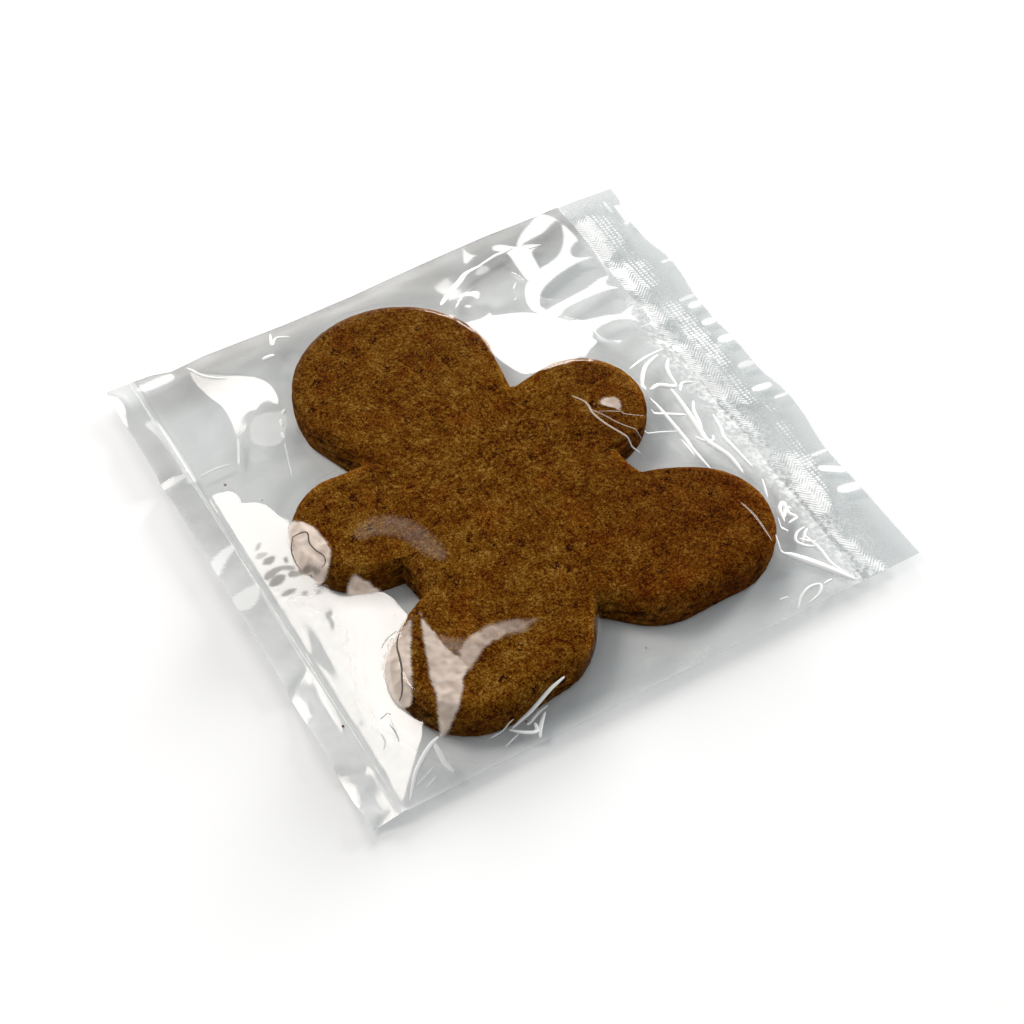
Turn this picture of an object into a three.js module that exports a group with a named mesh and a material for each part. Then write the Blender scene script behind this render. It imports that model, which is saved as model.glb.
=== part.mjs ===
// A gingerbread man cookie sealed in a clear film bag, as the closed outer form of the bag.
// The film lies on the cookie's flat top, goes over its rounded rim and falls like a tent to the seals and side
// folds, so the gingerbread man stands up in low relief. The cookie's flat base presses the film on the table.
// Millimetres, +Z up. +X runs from the welded end to the crimped end and +Y to the far side fold. The origin is
// on the table under the middle of the bag.
import * as THREE from 'three';
import { mergeVertices } from 'three/addons/utils/BufferGeometryUtils.js';

const bag = {
  length: 143, // cut edge to cut edge, along X
  width: 139, // side fold to side fold, along Y
  weldSkirt: 7, // loose film beyond the weld, at the -X end
  crimpBand: 13.5, // crimped seal, at the +X end
  sideHem: 2, // film lying flat at each side fold
  sealHeight: 2.1, // middle of the seals above the table
  sealThickness: 0.8,
  weldBead: 0.6, // the weld's ridge above the film
  tentSag: 1.5, // 1 is a straight fall from the cookie to the seals, more hangs lower
};

const crimp = {
  lift: 0.75, // the band's long wave
  pitch: 27,
  ripple: 0.35, // its short wave
  ripplePitch: 10.5,
  fade: 14, // how far the waves run into the film as puckers
  nick: 0.7, // unevenness of the cut edge
  nickPitch: 7.5,
};

// The cookie's plan is a blend of round-ended bars in its own frame: x across, y up to the head.
// Each bar goes from one round end to the other, and all but the head, neck and trunk have a mirrored twin.
const cookie = {
  thickness: 8.7,
  centre: new THREE.Vector2(-6.95, -0.15),
  turn: THREE.MathUtils.degToRad(5.3),
  head: { from: [0, 33.75], fromRadius: 25.8, to: [0, 17.4], toRadius: 21.4 },
  arm: { from: [0, 0.25], fromRadius: 14.2, to: [31.5, 2.7], toRadius: 15.6, blend: 1.2 },
  trunk: { from: [0, -13.2], fromRadius: 30.2, to: [0, -13.7], toRadius: 30.2, blend: 1 },
  leg: { from: [18, -42], fromRadius: 16.8, to: [32.1, -42.3], toRadius: 17.3, blend: 10 },
  waist: [0, -13.25], // every ray from here crosses the outline once
  rimWidth: 3.2,
  rimDrop: 1.7,
};

// How finely the form is cut: spokes go out from the waist, rows go along them.
const spokesPerSide = 48;
const plateauShares = [0, 0.4, 0.75];
const rimInsets = [cookie.rimWidth, 1.7, 0.6, 0];
const grazeLimit = 2;
const tentShares = [0.07, 0.18, 0.34, 0.55, 0.78, 1];
const contactShare = 0.45;

const filmTop = cookie.thickness + 0.2;
const sealTop = bag.sealHeight + bag.sealThickness / 2;
const sealUnder = bag.sealHeight - bag.sealThickness / 2;
const weldLine = -bag.length / 2 + bag.weldSkirt;
const crimpLine = bag.length / 2 - bag.crimpBand;
const hemLine = bag.width / 2 - bag.sideHem;

function toBag([x, y]) {
  return new THREE.Vector2(x, y).rotateAround(new THREE.Vector2(), cookie.turn).add(cookie.centre);
}

function toCookie(point) {
  return point.clone().sub(cookie.centre).rotateAround(new THREE.Vector2(), -cookie.turn);
}

// Signed distance to a bar with round ends of different radius, negative inside.
function barDistance(point, bar) {
  const from = new THREE.Vector2(...bar.from);
  const along = new THREE.Vector2(...bar.to).sub(from);
  const share = THREE.MathUtils.clamp(point.clone().sub(from).dot(along) / along.lengthSq(), 0, 1);
  const radius = THREE.MathUtils.lerp(bar.fromRadius, bar.toRadius, share);
  return point.distanceTo(from.addScaledVector(along, share)) - radius;
}

// The smaller of two distances, with a fillet of about the given width where they meet.
function blended(a, b, width) {
  const share = THREE.MathUtils.clamp(0.5 + (0.5 * (b - a)) / width, 0, 1);
  return THREE.MathUtils.lerp(b, a, share) - width * share * (1 - share);
}

// Distance from the gingerbread man's outline, in the bag's frame, negative inside it.
function outlineDistance(point) {
  const local = toCookie(point);
  local.x = Math.abs(local.x);
  const { head, arm, trunk, leg } = cookie;
  let distance = blended(barDistance(local, head), barDistance(local, arm), arm.blend);
  distance = blended(distance, barDistance(local, trunk), trunk.blend);
  return blended(distance, barDistance(local, leg), leg.blend);
}

// Waves of the crimped seal, which run into the film as puckers and die out.
function crimpWave(point) {
  const turns = (pitch) => (2 * Math.PI * point.y) / pitch;
  const wave = crimp.lift * Math.sin(turns(crimp.pitch)) + crimp.ripple * Math.sin(turns(crimp.ripplePitch) + 1);
  return wave * Math.exp(-Math.max(0, crimpLine - point.x) / crimp.fade);
}

// Height of the film over the cookie, over its rim, and on the slopes beyond it.
function topHeight(point) {
  const beyond = outlineDistance(point);
  const edge = Math.min(point.x - weldLine, crimpLine - point.x, hemLine - Math.abs(point.y));
  const overRim = THREE.MathUtils.clamp(1 + beyond / cookie.rimWidth, 0, 1);
  const rimHeight = filmTop - cookie.rimDrop * (1 - Math.sqrt(1 - overRim ** 2));
  if (beyond <= 0) {
    return rimHeight;
  }
  const share = edge > 0 ? (edge / (edge + beyond)) ** bag.tentSag : 0;
  const bead = bag.weldBead * Math.exp(-((point.x - weldLine) ** 2));
  return THREE.MathUtils.lerp(sealTop + crimpWave(point) + bead, rimHeight, share);
}

// A point of the bag's cut edges and side folds; spoke 0 is the middle of the welded end, and they go round
// counter-clockwise.
function perimeterPoint(spoke) {
  const position = (spoke + spokesPerSide / 2) % (4 * spokesPerSide);
  const side = Math.floor(position / spokesPerSide);
  const share = (position % spokesPerSide) / spokesPerSide - 0.5;
  const [halfLength, halfWidth] = [bag.length / 2, bag.width / 2];
  const nick = crimp.nick * Math.sin((Math.PI * share * bag.width) / crimp.nickPitch) ** 2;
  return [
    new THREE.Vector2(-halfLength, -share * bag.width),
    new THREE.Vector2(share * bag.length, -halfWidth),
    new THREE.Vector2(halfLength - nick * (1 - (2 * share) ** 2), share * bag.width),
    new THREE.Vector2(-share * bag.length, halfWidth),
  ][side];
}

// Share of the way along a spoke where it leaves the rectangle inside the seals and hems.
function sealShare(start, end) {
  const along = end.clone().sub(start);
  const reachX = ((along.x > 0 ? crimpLine : weldLine) - start.x) / along.x;
  const reachY = ((along.y > 0 ? hemLine : -hemLine) - start.y) / along.y;
  return Math.min(along.x === 0 ? Infinity : reachX, along.y === 0 ? Infinity : reachY);
}

// Share of the way along a spoke, coming in from outside, where the outline distance falls to -inset. Where the
// spoke only grazes the outline the search ends early, so that the rim's rows stay close together.
function insetShare(start, end, outer, inset, longestSearch = Infinity) {
  const length = start.distanceTo(end);
  const step = 0.1 / length;
  const innermost = outer - longestSearch / length;
  let share = outer;
  while (share > innermost && outlineDistance(start.clone().lerp(end, share)) > -inset) {
    share -= step;
  }
  return share;
}

// One spoke's points, over the top from the waist to the edge and back along the underside.
function spokePoints(spoke) {
  const start = toBag(cookie.waist);
  const end = perimeterPoint(spoke);
  const at = (share) => start.clone().lerp(end, share);
  const raised = (share) => {
    const point = at(share);
    return new THREE.Vector3(point.x, point.y, topHeight(point));
  };
  const flat = (share, height) => new THREE.Vector3(at(share).x, at(share).y, height);
  const seal = sealShare(start, end);
  const outline = insetShare(start, end, seal, 0);
  const rim = rimInsets.map((inset) => insetShare(start, end, outline, inset, grazeLimit * inset));
  return [
    ...plateauShares.map((share) => raised(share * rim[0])),
    ...rim.map(raised),
    ...tentShares.map((share) => raised(THREE.MathUtils.lerp(outline, seal, share))),
    flat(1, sealTop + crimpWave(end)),
    flat(1, sealUnder + crimpWave(end)),
    flat(seal, sealUnder + crimpWave(at(seal))),
    flat(THREE.MathUtils.lerp(outline, seal, contactShare), 0),
    flat(outline / 2, 0),
    flat(0, 0),
  ];
}

// A sphere's grid of meridians and rows, with every meridian laid along a spoke.
function bagGeometry() {
  const spokes = 4 * spokesPerSide;
  const meridians = Array.from({ length: spokes }, (_, spoke) => spokePoints(spoke));
  const rows = meridians[0].length;
  const geometry = new THREE.SphereGeometry(1, spokes, rows - 1);
  const position = geometry.getAttribute('position');
  for (let row = 0; row < rows; row += 1) {
    for (let column = 0; column <= spokes; column += 1) {
      const point = meridians[column % spokes][row];
      position.setXYZ(row * (spokes + 1) + column, point.x, point.y, point.z);
    }
  }
  geometry.deleteAttribute('normal');
  geometry.deleteAttribute('uv');
  const closed = mergeVertices(geometry, 1e-4);
  closed.computeVertexNormals();
  return closed;
}

const film = new THREE.MeshStandardMaterial({ color: 0xc9cdcc, roughness: 0.15, metalness: 0 });
const sealedBag = new THREE.Mesh(bagGeometry(), film);
sealedBag.name = 'sealed_bag';

const part = new THREE.Group();
part.add(sealedBag);

export default part;
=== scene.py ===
import math

import bpy
import numpy as np
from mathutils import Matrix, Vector


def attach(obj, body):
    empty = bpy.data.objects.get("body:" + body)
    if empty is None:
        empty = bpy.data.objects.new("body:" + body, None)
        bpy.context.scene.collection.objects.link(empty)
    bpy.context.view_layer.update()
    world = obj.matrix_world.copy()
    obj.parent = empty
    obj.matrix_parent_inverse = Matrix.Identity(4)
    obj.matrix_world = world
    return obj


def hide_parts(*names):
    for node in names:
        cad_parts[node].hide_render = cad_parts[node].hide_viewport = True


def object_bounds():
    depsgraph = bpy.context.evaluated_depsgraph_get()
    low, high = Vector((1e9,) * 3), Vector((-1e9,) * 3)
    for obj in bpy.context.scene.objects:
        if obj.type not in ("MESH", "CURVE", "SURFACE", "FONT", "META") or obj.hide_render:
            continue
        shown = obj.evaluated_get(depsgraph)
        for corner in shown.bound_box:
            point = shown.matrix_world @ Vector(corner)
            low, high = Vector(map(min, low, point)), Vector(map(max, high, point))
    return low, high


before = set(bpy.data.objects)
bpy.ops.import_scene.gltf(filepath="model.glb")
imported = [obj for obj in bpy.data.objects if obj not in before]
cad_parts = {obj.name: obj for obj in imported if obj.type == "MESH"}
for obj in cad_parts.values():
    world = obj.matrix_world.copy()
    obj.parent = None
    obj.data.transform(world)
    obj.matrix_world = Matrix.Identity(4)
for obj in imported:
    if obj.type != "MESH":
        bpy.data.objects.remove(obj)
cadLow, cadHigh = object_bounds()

mm = 0.001


def addNode(tree, kind, inputs=None, **settings):
    # an input takes a plain value, a socket, or a node's first output
    node = tree.nodes.new(kind)
    for name, value in settings.items():
        setattr(node, name, value)
    for name, value in (inputs or {}).items():
        if isinstance(value, bpy.types.Node):
            value = value.outputs[0]
        if isinstance(value, bpy.types.NodeSocket):
            tree.links.new(value, node.inputs[name])
        else:
            node.inputs[name].default_value = value
    return node


def mathIn(tree):
    # a short way to chain the tree's math nodes
    def count(operation, *inputs, clamp=False):
        return addNode(tree, "ShaderNodeMath", dict(enumerate(inputs)), operation=operation, use_clamp=clamp)
    return count


def ranged(tree, field, low, high, first=0.0, last=1.0, ease="LINEAR"):
    # goes from first to last while the field goes from low to high
    sizes = {"Value": field, "From Min": low, "From Max": high, "To Min": first, "To Max": last}
    return addNode(tree, "ShaderNodeMapRange", sizes, interpolation_type=ease)


def newMaterial(name):
    material = bpy.data.materials.new(name)
    material.use_nodes = True
    material.node_tree.nodes.clear()
    return material, material.node_tree


def newTree(name, sizes):
    # a geometry tree with a named input for each size
    tree = bpy.data.node_groups.new(name, "GeometryNodeTree")
    tree.interface.new_socket("Geometry", in_out="INPUT", socket_type="NodeSocketGeometry")
    for size, value in sizes.items():
        kind = "NodeSocketInt" if isinstance(value, int) else "NodeSocketFloat"
        tree.interface.new_socket(size, in_out="INPUT", socket_type=kind)
    tree.interface.new_socket("Geometry", in_out="OUTPUT", socket_type="NodeSocketGeometry")
    return tree, tree.nodes.new("NodeGroupInput").outputs


def endTree(tree, geometry, material):
    plain = addNode(tree, "GeometryNodeRealizeInstances", {"Geometry": geometry})
    looked = addNode(tree, "GeometryNodeSetMaterial", {"Geometry": plain, "Material": material})
    addNode(tree, "NodeGroupOutput", {"Geometry": looked})
    return tree


def pointField(tree, name):
    return addNode(tree, "GeometryNodeInputNamedAttribute", {"Name": name}, data_type="FLOAT")


def keepField(tree, geometry, name, value):
    inputs = {"Geometry": geometry, "Value": value, "Name": name}
    return addNode(tree, "GeometryNodeStoreNamedAttribute", inputs, data_type="FLOAT", domain="POINT")


def runTree(thing, tree, values):
    # runs a geometry tree on an object and keeps the result as its plain mesh
    modifier = thing.modifiers.new(tree.name, "NODES")
    modifier.node_group = tree
    for item in tree.interface.items_tree:
        if item.in_out == "INPUT" and item.name in values:
            modifier[item.identifier] = values[item.name]
    graph = bpy.context.evaluated_depsgraph_get()
    made = bpy.data.meshes.new_from_object(thing.evaluated_get(graph), preserve_all_data_layers=True,
                                           depsgraph=graph)
    thing.modifiers.clear()
    thing.data = made


def meshObject(name, points, faces=(), edges=(), smooth=True):
    mesh = bpy.data.meshes.new(name)
    mesh.from_pydata(points, edges, faces)
    mesh.validate()
    mesh.shade_smooth() if smooth else mesh.shade_flat()
    thing = bpy.data.objects.new(name, mesh)
    bpy.context.collection.objects.link(thing)
    return thing


def paintPoints(thing, fields):
    for name, values in fields.items():
        thing.data.attributes.new(name, "FLOAT", "POINT").data.foreach_set("value", values)


def gridFaces(rows, columns, closed=False):
    # quads of a grid of points stored row after row; closed joins the last column to the first
    steps = np.arange(columns if closed else columns - 1)
    row, column = np.meshgrid(np.arange(rows - 1) * columns, steps, indexing="ij")
    following = (column + 1) % columns
    corners = [row + column, row + following, row + columns + following, row + columns + column]
    return np.stack([corner.ravel() for corner in corners], axis=1)


def softNoise(x, y, strength, size, seed):
    # smooth random heights up to the strength, above and below 0, with lumps of about the given size
    cells = 128
    lattice = np.random.default_rng(seed).uniform(-1, 1, (cells, cells))
    u, v = np.asarray(x) / size + cells / 2 + 0.5, np.asarray(y) / size + cells / 2 + 0.5
    i, j = np.floor(u).astype(int), np.floor(v).astype(int)
    u, v = u - i, v - j
    u, v = u * u * (3 - 2 * u), v * v * (3 - 2 * v)

    def side(j):
        return lattice[i % cells, j % cells] * (1 - u) + lattice[(i + 1) % cells, j % cells] * u

    return strength * (side(j) * (1 - v) + side(j + 1) * v)


def rise(value, start, end):
    # 0 up to the start and 1 from the end on, whichever is higher
    return np.clip((value - start) / (end - start), 0, 1)


view = {
    "target": (-3.6, -9.6, 0),
    "azimuth": 29.96,      # turned from +Y towards +X
    "elevation": 50.4,
    "distance": 558,
    "lens": 84.4,
    "sensor": 36,
    "clip": (0.01, 20),    # in metres
}

# Softboxes: the way to each from the cookie, how far it stands, its size and its brightness.
softboxes = {
    "leftBox": {"towards": (-0.42, 0.552, 0.72), "distance": 1.1, "size": (0.38, 0.38), "radiance": 10.8,
                "colour": (1.0, 0.93, 0.86)},
    "backBox": {"towards": (0.546, 0.752, 0.372), "distance": 1.3, "size": (0.24, 0.22), "radiance": 9.5,
                "colour": (1.0, 0.96, 0.92)},
}


def cameraAhead():
    azimuth, elevation = math.radians(view["azimuth"]), math.radians(view["elevation"])
    level = math.cos(elevation)
    return Vector((level * math.sin(azimuth), level * math.cos(azimuth), -math.sin(elevation)))


def placeCamera():
    ahead = cameraAhead()
    data = bpy.data.cameras.new("camera")
    data.lens = view["lens"]
    data.sensor_width = view["sensor"]
    data.clip_start, data.clip_end = view["clip"]
    camera = bpy.data.objects.new("camera", data)
    camera.location = (Vector(view["target"]) - ahead * view["distance"]) * mm
    camera.rotation_euler = ahead.to_track_quat("-Z", "Y").to_euler()
    bpy.context.collection.objects.link(camera)
    bpy.context.scene.camera = camera


placeCamera()
print("camera placed")

# The gingerbread man is a blend of bars with round ends, in millimetres: x across, y up to the head.
cookie = {
    "thickness": 8.7,
    "lift": 0.12,          # the film under it
    "centre": (-6.95, -0.15),
    "turn": 5.3,
    "head": ((0, 33.75), 25.8, (0, 17.4), 21.4),
    "arm": ((0, 0.25), 14.2, (31.5, 2.7), 15.6),
    "trunk": ((0, -13.2), 30.2, (0, -13.7), 30.2),
    "leg": ((18, -42), 16.8, (32.1, -42.3), 17.3),
    "blends": {"arm": 1.2, "trunk": 1.0, "leg": 10},
    "waist": (0, -13.25),  # spokes go out from here, and each crosses the outline once
    "spokes": 560,
    "farReach": 85,
    "longestPull": 7,      # an inset along a spoke that crosses the outline askew
    "leastSquare": 0.35,
    "topRows": 104,
    "baseRows": 14,
    # from the flat top, over the rim and down the wall to the base: inset from the outline, share of height
    "edge": [(3.6, 1.0), (2.9, 0.994), (2.3, 0.98), (1.75, 0.957), (1.3, 0.925), (0.9, 0.885), (0.6, 0.84),
             (0.36, 0.79), (0.2, 0.73), (0.1, 0.67), (0.03, 0.6), (0, 0.53), (0, 0.46), (0.02, 0.39),
             (0.06, 0.32), (0.12, 0.25), (0.2, 0.18), (0.32, 0.12), (0.5, 0.06), (0.85, 0.015), (1.3, 0)],
    "widestAt": 0.53,
}


def toCookie(x, y):
    turn = math.radians(cookie["turn"])
    dx, dy = x - cookie["centre"][0], y - cookie["centre"][1]
    return dx * math.cos(turn) + dy * math.sin(turn), dy * math.cos(turn) - dx * math.sin(turn)


def fromCookie(x, y):
    turn = math.radians(cookie["turn"])
    return (x * math.cos(turn) - y * math.sin(turn) + cookie["centre"][0],
            x * math.sin(turn) + y * math.cos(turn) + cookie["centre"][1])


def barDistance(x, y, bar):
    (ax, ay), startRadius, (bx, by), endRadius = bar
    lengthSquared = (bx - ax) ** 2 + (by - ay) ** 2
    share = np.clip(((x - ax) * (bx - ax) + (y - ay) * (by - ay)) / lengthSquared, 0, 1)
    radius = startRadius + (endRadius - startRadius) * share
    return np.hypot(x - ax - share * (bx - ax), y - ay - share * (by - ay)) - radius


def blended(a, b, width):
    share = np.clip(0.5 + 0.5 * (b - a) / width, 0, 1)
    return b * (1 - share) + a * share - width * share * (1 - share)


def outlineDistance(x, y):
    # distance from the gingerbread man's outline in the bag's frame, negative inside it
    u, v = toCookie(x, y)
    u = np.abs(u)
    distance = barDistance(u, v, cookie["head"])
    for bar, width in cookie["blends"].items():
        distance = blended(distance, barDistance(u, v, cookie[bar]), width)
    return distance


def cookieSpokes():
    # for each spoke from the waist, its direction and how far out it meets the outline
    angle = np.linspace(0, 2 * math.pi, cookie["spokes"], endpoint=False)
    startX, startY = fromCookie(*cookie["waist"])
    dx, dy = np.cos(angle), np.sin(angle)

    def isOutside(reach):
        return outlineDistance(startX + reach * dx, startY + reach * dy) > 0

    # steps inwards from far out, then a search between the last two
    step = 0.2
    inner = np.full_like(angle, cookie["farReach"])
    while isOutside(inner).any():
        inner = np.where(isOutside(inner), inner - step, inner)
    outer = inner + step
    for _ in range(12):
        middle = (inner + outer) / 2
        outside = isOutside(middle)
        inner, outer = np.where(outside, inner, middle), np.where(outside, middle, outer)
    return startX, startY, dx, dy, (inner + outer) / 2


def cookieMesh():
    # rows of points from the middle of the top, over the edge and along the base to its middle
    startX, startY, dx, dy, reach = cookieSpokes()
    outlineX, outlineY = startX + reach * dx, startY + reach * dy
    step = 0.05
    slopeX = outlineDistance(outlineX + step, outlineY) - outlineDistance(outlineX - step, outlineY)
    slopeY = outlineDistance(outlineX, outlineY + step) - outlineDistance(outlineX, outlineY - step)
    # how squarely each spoke crosses the outline
    square = np.maximum(cookie["leastSquare"], (slopeX * dx + slopeY * dy) / np.hypot(slopeX, slopeY))
    edge, spokes = cookie["edge"], cookie["spokes"]
    reaches = [reach - np.minimum(inset / square, cookie["longestPull"]) for inset, height in edge]
    topShares = np.linspace(0, 1, cookie["topRows"], endpoint=False)[1:]
    baseShares = np.linspace(1, 0, cookie["baseRows"], endpoint=False)[1:]
    rows = [(reaches[0] * share, 1) for share in topShares]
    rows += [(reaches[k], edge[k][1]) for k in range(len(edge))]
    rows += [(reaches[-1] * share, 0) for share in baseShares]
    points = [np.column_stack([startX + out * dx, startY + out * dy, np.full(spokes, float(height))])
              for out, height in rows]
    points = np.vstack(points + [[[startX, startY, 1], [startX, startY, 0]]])
    points[:, 2] = cookie["thickness"] * points[:, 2] + cookie["lift"]
    faces = gridFaces(len(rows), spokes, closed=True)[:, ::-1].tolist()
    top, base, last = len(points) - 2, len(points) - 1, (len(rows) - 1) * spokes
    faces += [(top, i, (i + 1) % spokes) for i in range(spokes)]
    faces += [(base, last + (i + 1) % spokes, last + i) for i in range(spokes)]
    return meshObject("cookie", (points * mm).tolist(), faces)


# Sizes in millimetres of what the baked surface shows.
relief = {
    "Swell": 0.22, "Swell Size": 13.0,
    "Lump": 0.16, "Lump Size": 2.6,
    "Crumb": 0.08, "Crumb Size": 0.9,
    "Pit Depth": 0.45, "Pit Spacing": 3.4, "Pit Rarity": 0.72,
    "Layer Depth": 0.34, "Layer Size": 1.5,
    "Seed": 7.0,
}


def reliefTree(material):
    # lumps, crumb, pits and the wall's baked layers, all pushed along the surface's normal
    tree, given = newTree("cookieRelief", relief)
    count = mathIn(tree)
    position = addNode(tree, "GeometryNodeInputPosition")
    normal = addNode(tree, "GeometryNodeInputNormal")

    def vector(operation, inputs):
        return addNode(tree, "ShaderNodeVectorMath", inputs, operation=operation)

    def spread(size, stretch=(1, 1, 1)):
        # position in units of the given size, with the axes stretched
        scaled = vector("SCALE", {0: position, "Scale": count("DIVIDE", 1 / mm, size)})
        return vector("MULTIPLY", {0: scaled, 1: stretch})

    def noise(size, detail, shift, stretch=(1, 1, 1)):
        inputs = {"Vector": spread(size, stretch), "W": count("ADD", given["Seed"], shift), "Scale": 1.0,
                  "Detail": detail, "Roughness": 0.6}
        return addNode(tree, "ShaderNodeTexNoise", inputs, noise_dimensions="4D")

    def lumps(name, detail, shift):
        centred = count("MULTIPLY_ADD", noise(given[name + " Size"], detail, shift), 2.0, -1.0)
        return count("MULTIPLY", centred, given[name])

    upright = addNode(tree, "ShaderNodeSeparateXYZ", {0: normal}).outputs["Z"]
    wall = ranged(tree, count("ABSOLUTE", upright), 0.75, 0.25)
    notUnder = ranged(tree, upright, -0.9, -0.5)
    # pits with wandering edges, in the rarer cells
    spaced = spread(given["Pit Spacing"])
    wander = addNode(tree, "ShaderNodeTexNoise", {"Vector": spaced, "Scale": 3.5, "Detail": 2.0})
    bent = vector("MULTIPLY_ADD", {0: wander.outputs["Color"], 1: (0.8, 0.8, 0.8), 2: spaced})
    cells = addNode(tree, "ShaderNodeTexVoronoi", {"Vector": bent, "Scale": 1.0})
    chosen = addNode(tree, "ShaderNodeSeparateXYZ", {0: cells.outputs["Color"]})
    chosen = count("GREATER_THAN", chosen, given["Pit Rarity"])
    pit = count("MULTIPLY", ranged(tree, cells, 0.24, 0.05, ease="SMOOTHSTEP"), chosen)
    # long low seams between the wall's layers
    layers = noise(given["Layer Size"], 3.0, 31.0, (0.22, 0.22, 1.0))
    seam = ranged(tree, count("ABSOLUTE", count("SUBTRACT", layers, 0.5)), 0.05, 0.0)
    seam = count("MULTIPLY", seam, wall)

    height = count("ADD", lumps("Swell", 1.0, 0.0), lumps("Lump", 2.0, 5.0))
    height = count("ADD", height, lumps("Crumb", 2.0, 11.0))
    height = count("SUBTRACT", height, count("MULTIPLY", pit, given["Pit Depth"]))
    height = count("SUBTRACT", height, count("MULTIPLY", seam, given["Layer Depth"]))
    height = count("MULTIPLY", count("MULTIPLY", height, notUnder), mm)
    shift = vector("SCALE", {0: normal, "Scale": height})
    moved = addNode(tree, "GeometryNodeSetPosition", {"Geometry": given["Geometry"], "Offset": shift})
    # the pits and seams are kept for the painted shade in the hollows
    return endTree(tree, keepField(tree, moved, "hollowShade", count("MAXIMUM", pit, seam)), material)


# The baked crumb: colours, with the places of those between dark and light, and sizes in millimetres.
crust = {
    "darkest": (0.034, 0.0045, 0.0001, 1),
    "between": ((0.2, (0.080, 0.0170, 0.0001, 1)), (0.5, (0.139, 0.0490, 0.0010, 1)),
                (0.8, (0.215, 0.0950, 0.0100, 1))),
    "lightest": (0.310, 0.165, 0.0360, 1),
    "redder": (0.92, 0.74, 0.45, 1),
    "oneLeg": (0.84, 0.70, 0.55, 1),
    "crack": (0.030, 0.0050, 0.0005, 1),
    # painted shade in the pits and seams
    "hollowShade": (0.020, 0.0045, 0.0007, 1),
    # size, detail, roughness and weight
    "grains": ((7, 4, 1.0, 1.0), (0.9, 1, 0.6, 0.45), (0.36, 1, 0.6, 0.9)),
    "contrast": (0.925, 1.425),
    "redderSize": 9, "redderShare": (0.50, 0.66),
    "acrossLegs": (0.866, -0.5, 0), "legFrom": (14, 38),
    "crackSize": 1.5, "crackWidth": 0.05, "crackPatch": 4.5, "patchEdge": (0.3, 0.24), "patchRarity": 0.55,
    "bump": 0.5, "bumpDepth": 0.22, "bumpGrains": ((0.55, 3), (1.6, 2)),
    "roughness": 0.85, "gloss": 0.06,
}


def gingerbreadMaterial():
    material, tree = newMaterial("gingerbread")
    count = mathIn(tree)
    place = addNode(tree, "ShaderNodeTexCoord").outputs["Object"]

    def noise(size, detail, rough=0.6):
        inputs = {"Vector": place, "Scale": 1 / (size * mm), "Detail": detail, "Roughness": rough}
        return addNode(tree, "ShaderNodeTexNoise", inputs)

    def mix(share, ground, colour, mode="MIX"):
        mixed = addNode(tree, "ShaderNodeMix", data_type="RGBA", blend_type=mode)
        tree.links.new(share.outputs[0], mixed.inputs["Factor"])
        tree.links.new(ground, mixed.inputs[6])
        mixed.inputs[7].default_value = crust[colour]
        return mixed.outputs[2]

    crumb = 0.0
    for size, detail, rough, weight in crust["grains"]:
        crumb = count("MULTIPLY_ADD", noise(size, detail, rough), weight, crumb)
    browns = addNode(tree, "ShaderNodeValToRGB", {"Fac": ranged(tree, crumb, *crust["contrast"])})
    stops = browns.color_ramp.elements
    stops[0].color, stops[1].color = crust["darkest"], crust["lightest"]
    for at, shade in crust["between"]:
        stops.new(at).color = shade
    # redder in places, and darker towards one leg
    redder = ranged(tree, noise(crust["redderSize"], 2), *crust["redderShare"])
    ground = mix(redder, browns.outputs["Color"], "redder", "MULTIPLY")
    across = addNode(tree, "ShaderNodeVectorMath", {0: place, 1: crust["acrossLegs"]},
                     operation="DOT_PRODUCT")
    low, high = crust["legFrom"]
    ground = mix(ranged(tree, across.outputs["Value"], low * mm, high * mm), ground, "oneLeg", "MULTIPLY")
    # fine dark cracks, in some of the patches
    scale = 1 / (crust["crackPatch"] * mm)
    patches = addNode(tree, "ShaderNodeTexVoronoi", {"Vector": place, "Scale": scale})
    chosen = addNode(tree, "ShaderNodeSeparateXYZ", {0: patches.outputs["Color"]})
    chosen = count("GREATER_THAN", chosen, crust["patchRarity"])
    cracked = count("MULTIPLY", ranged(tree, patches, *crust["patchEdge"]), chosen)
    line = count("COMPARE", noise(crust["crackSize"], 1), 0.5, crust["crackWidth"])
    ground = mix(count("MULTIPLY", line, cracked), ground, "crack")
    # the pits and the wall's seams are darkened: painted shade in the hollows
    hollowShade = addNode(tree, "ShaderNodeAttribute", attribute_name="hollowShade").outputs["Fac"]
    ground = mix(ranged(tree, hollowShade, 0.1, 0.9), ground, "hollowShade")
    grain = count("ADD", *[noise(size, detail) for size, detail in crust["bumpGrains"]])
    bump = addNode(tree, "ShaderNodeBump", {
        "Height": grain, "Strength": crust["bump"], "Distance": crust["bumpDepth"] * mm})
    shader = addNode(tree, "ShaderNodeBsdfPrincipled", {
        "Base Color": ground, "Normal": bump, "Roughness": crust["roughness"],
        "Specular IOR Level": crust["gloss"]})
    addNode(tree, "ShaderNodeOutputMaterial", {"Surface": shader})
    return material


def makeCookie(material):
    thing = cookieMesh()
    runTree(thing, reliefTree(material), relief)
    thing.data.shade_smooth()
    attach(thing, "root")
    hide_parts("sealed_bag")


gingerbread = gingerbreadMaterial()
makeCookie(gingerbread)
print("cookie baked")

crumbForm = {"Size": 0.3, "Squash": 0.7, "Spread": 0.5, "Seed": 3}

# Where the loose crumbs lie in the bag: place, height of the film under them and size.
crumbPlaces = [
    (-58.2, 30, 1.2, 1.2), (-66, -45, 2.2, 0.9), (-52.5, 22, 0.6, 0.5), (-30.5, -62.4, 0.2, 0.7),
    (2.5, -58.6, 0.2, 0.6), (45.5, -38, 0.4, 0.6), (33.5, -4.6, 0.2, 0.7), (22.3, 29.4, 0.2, 0.5),
    (-41.6, -22.8, 0.2, 0.6),
]


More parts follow.
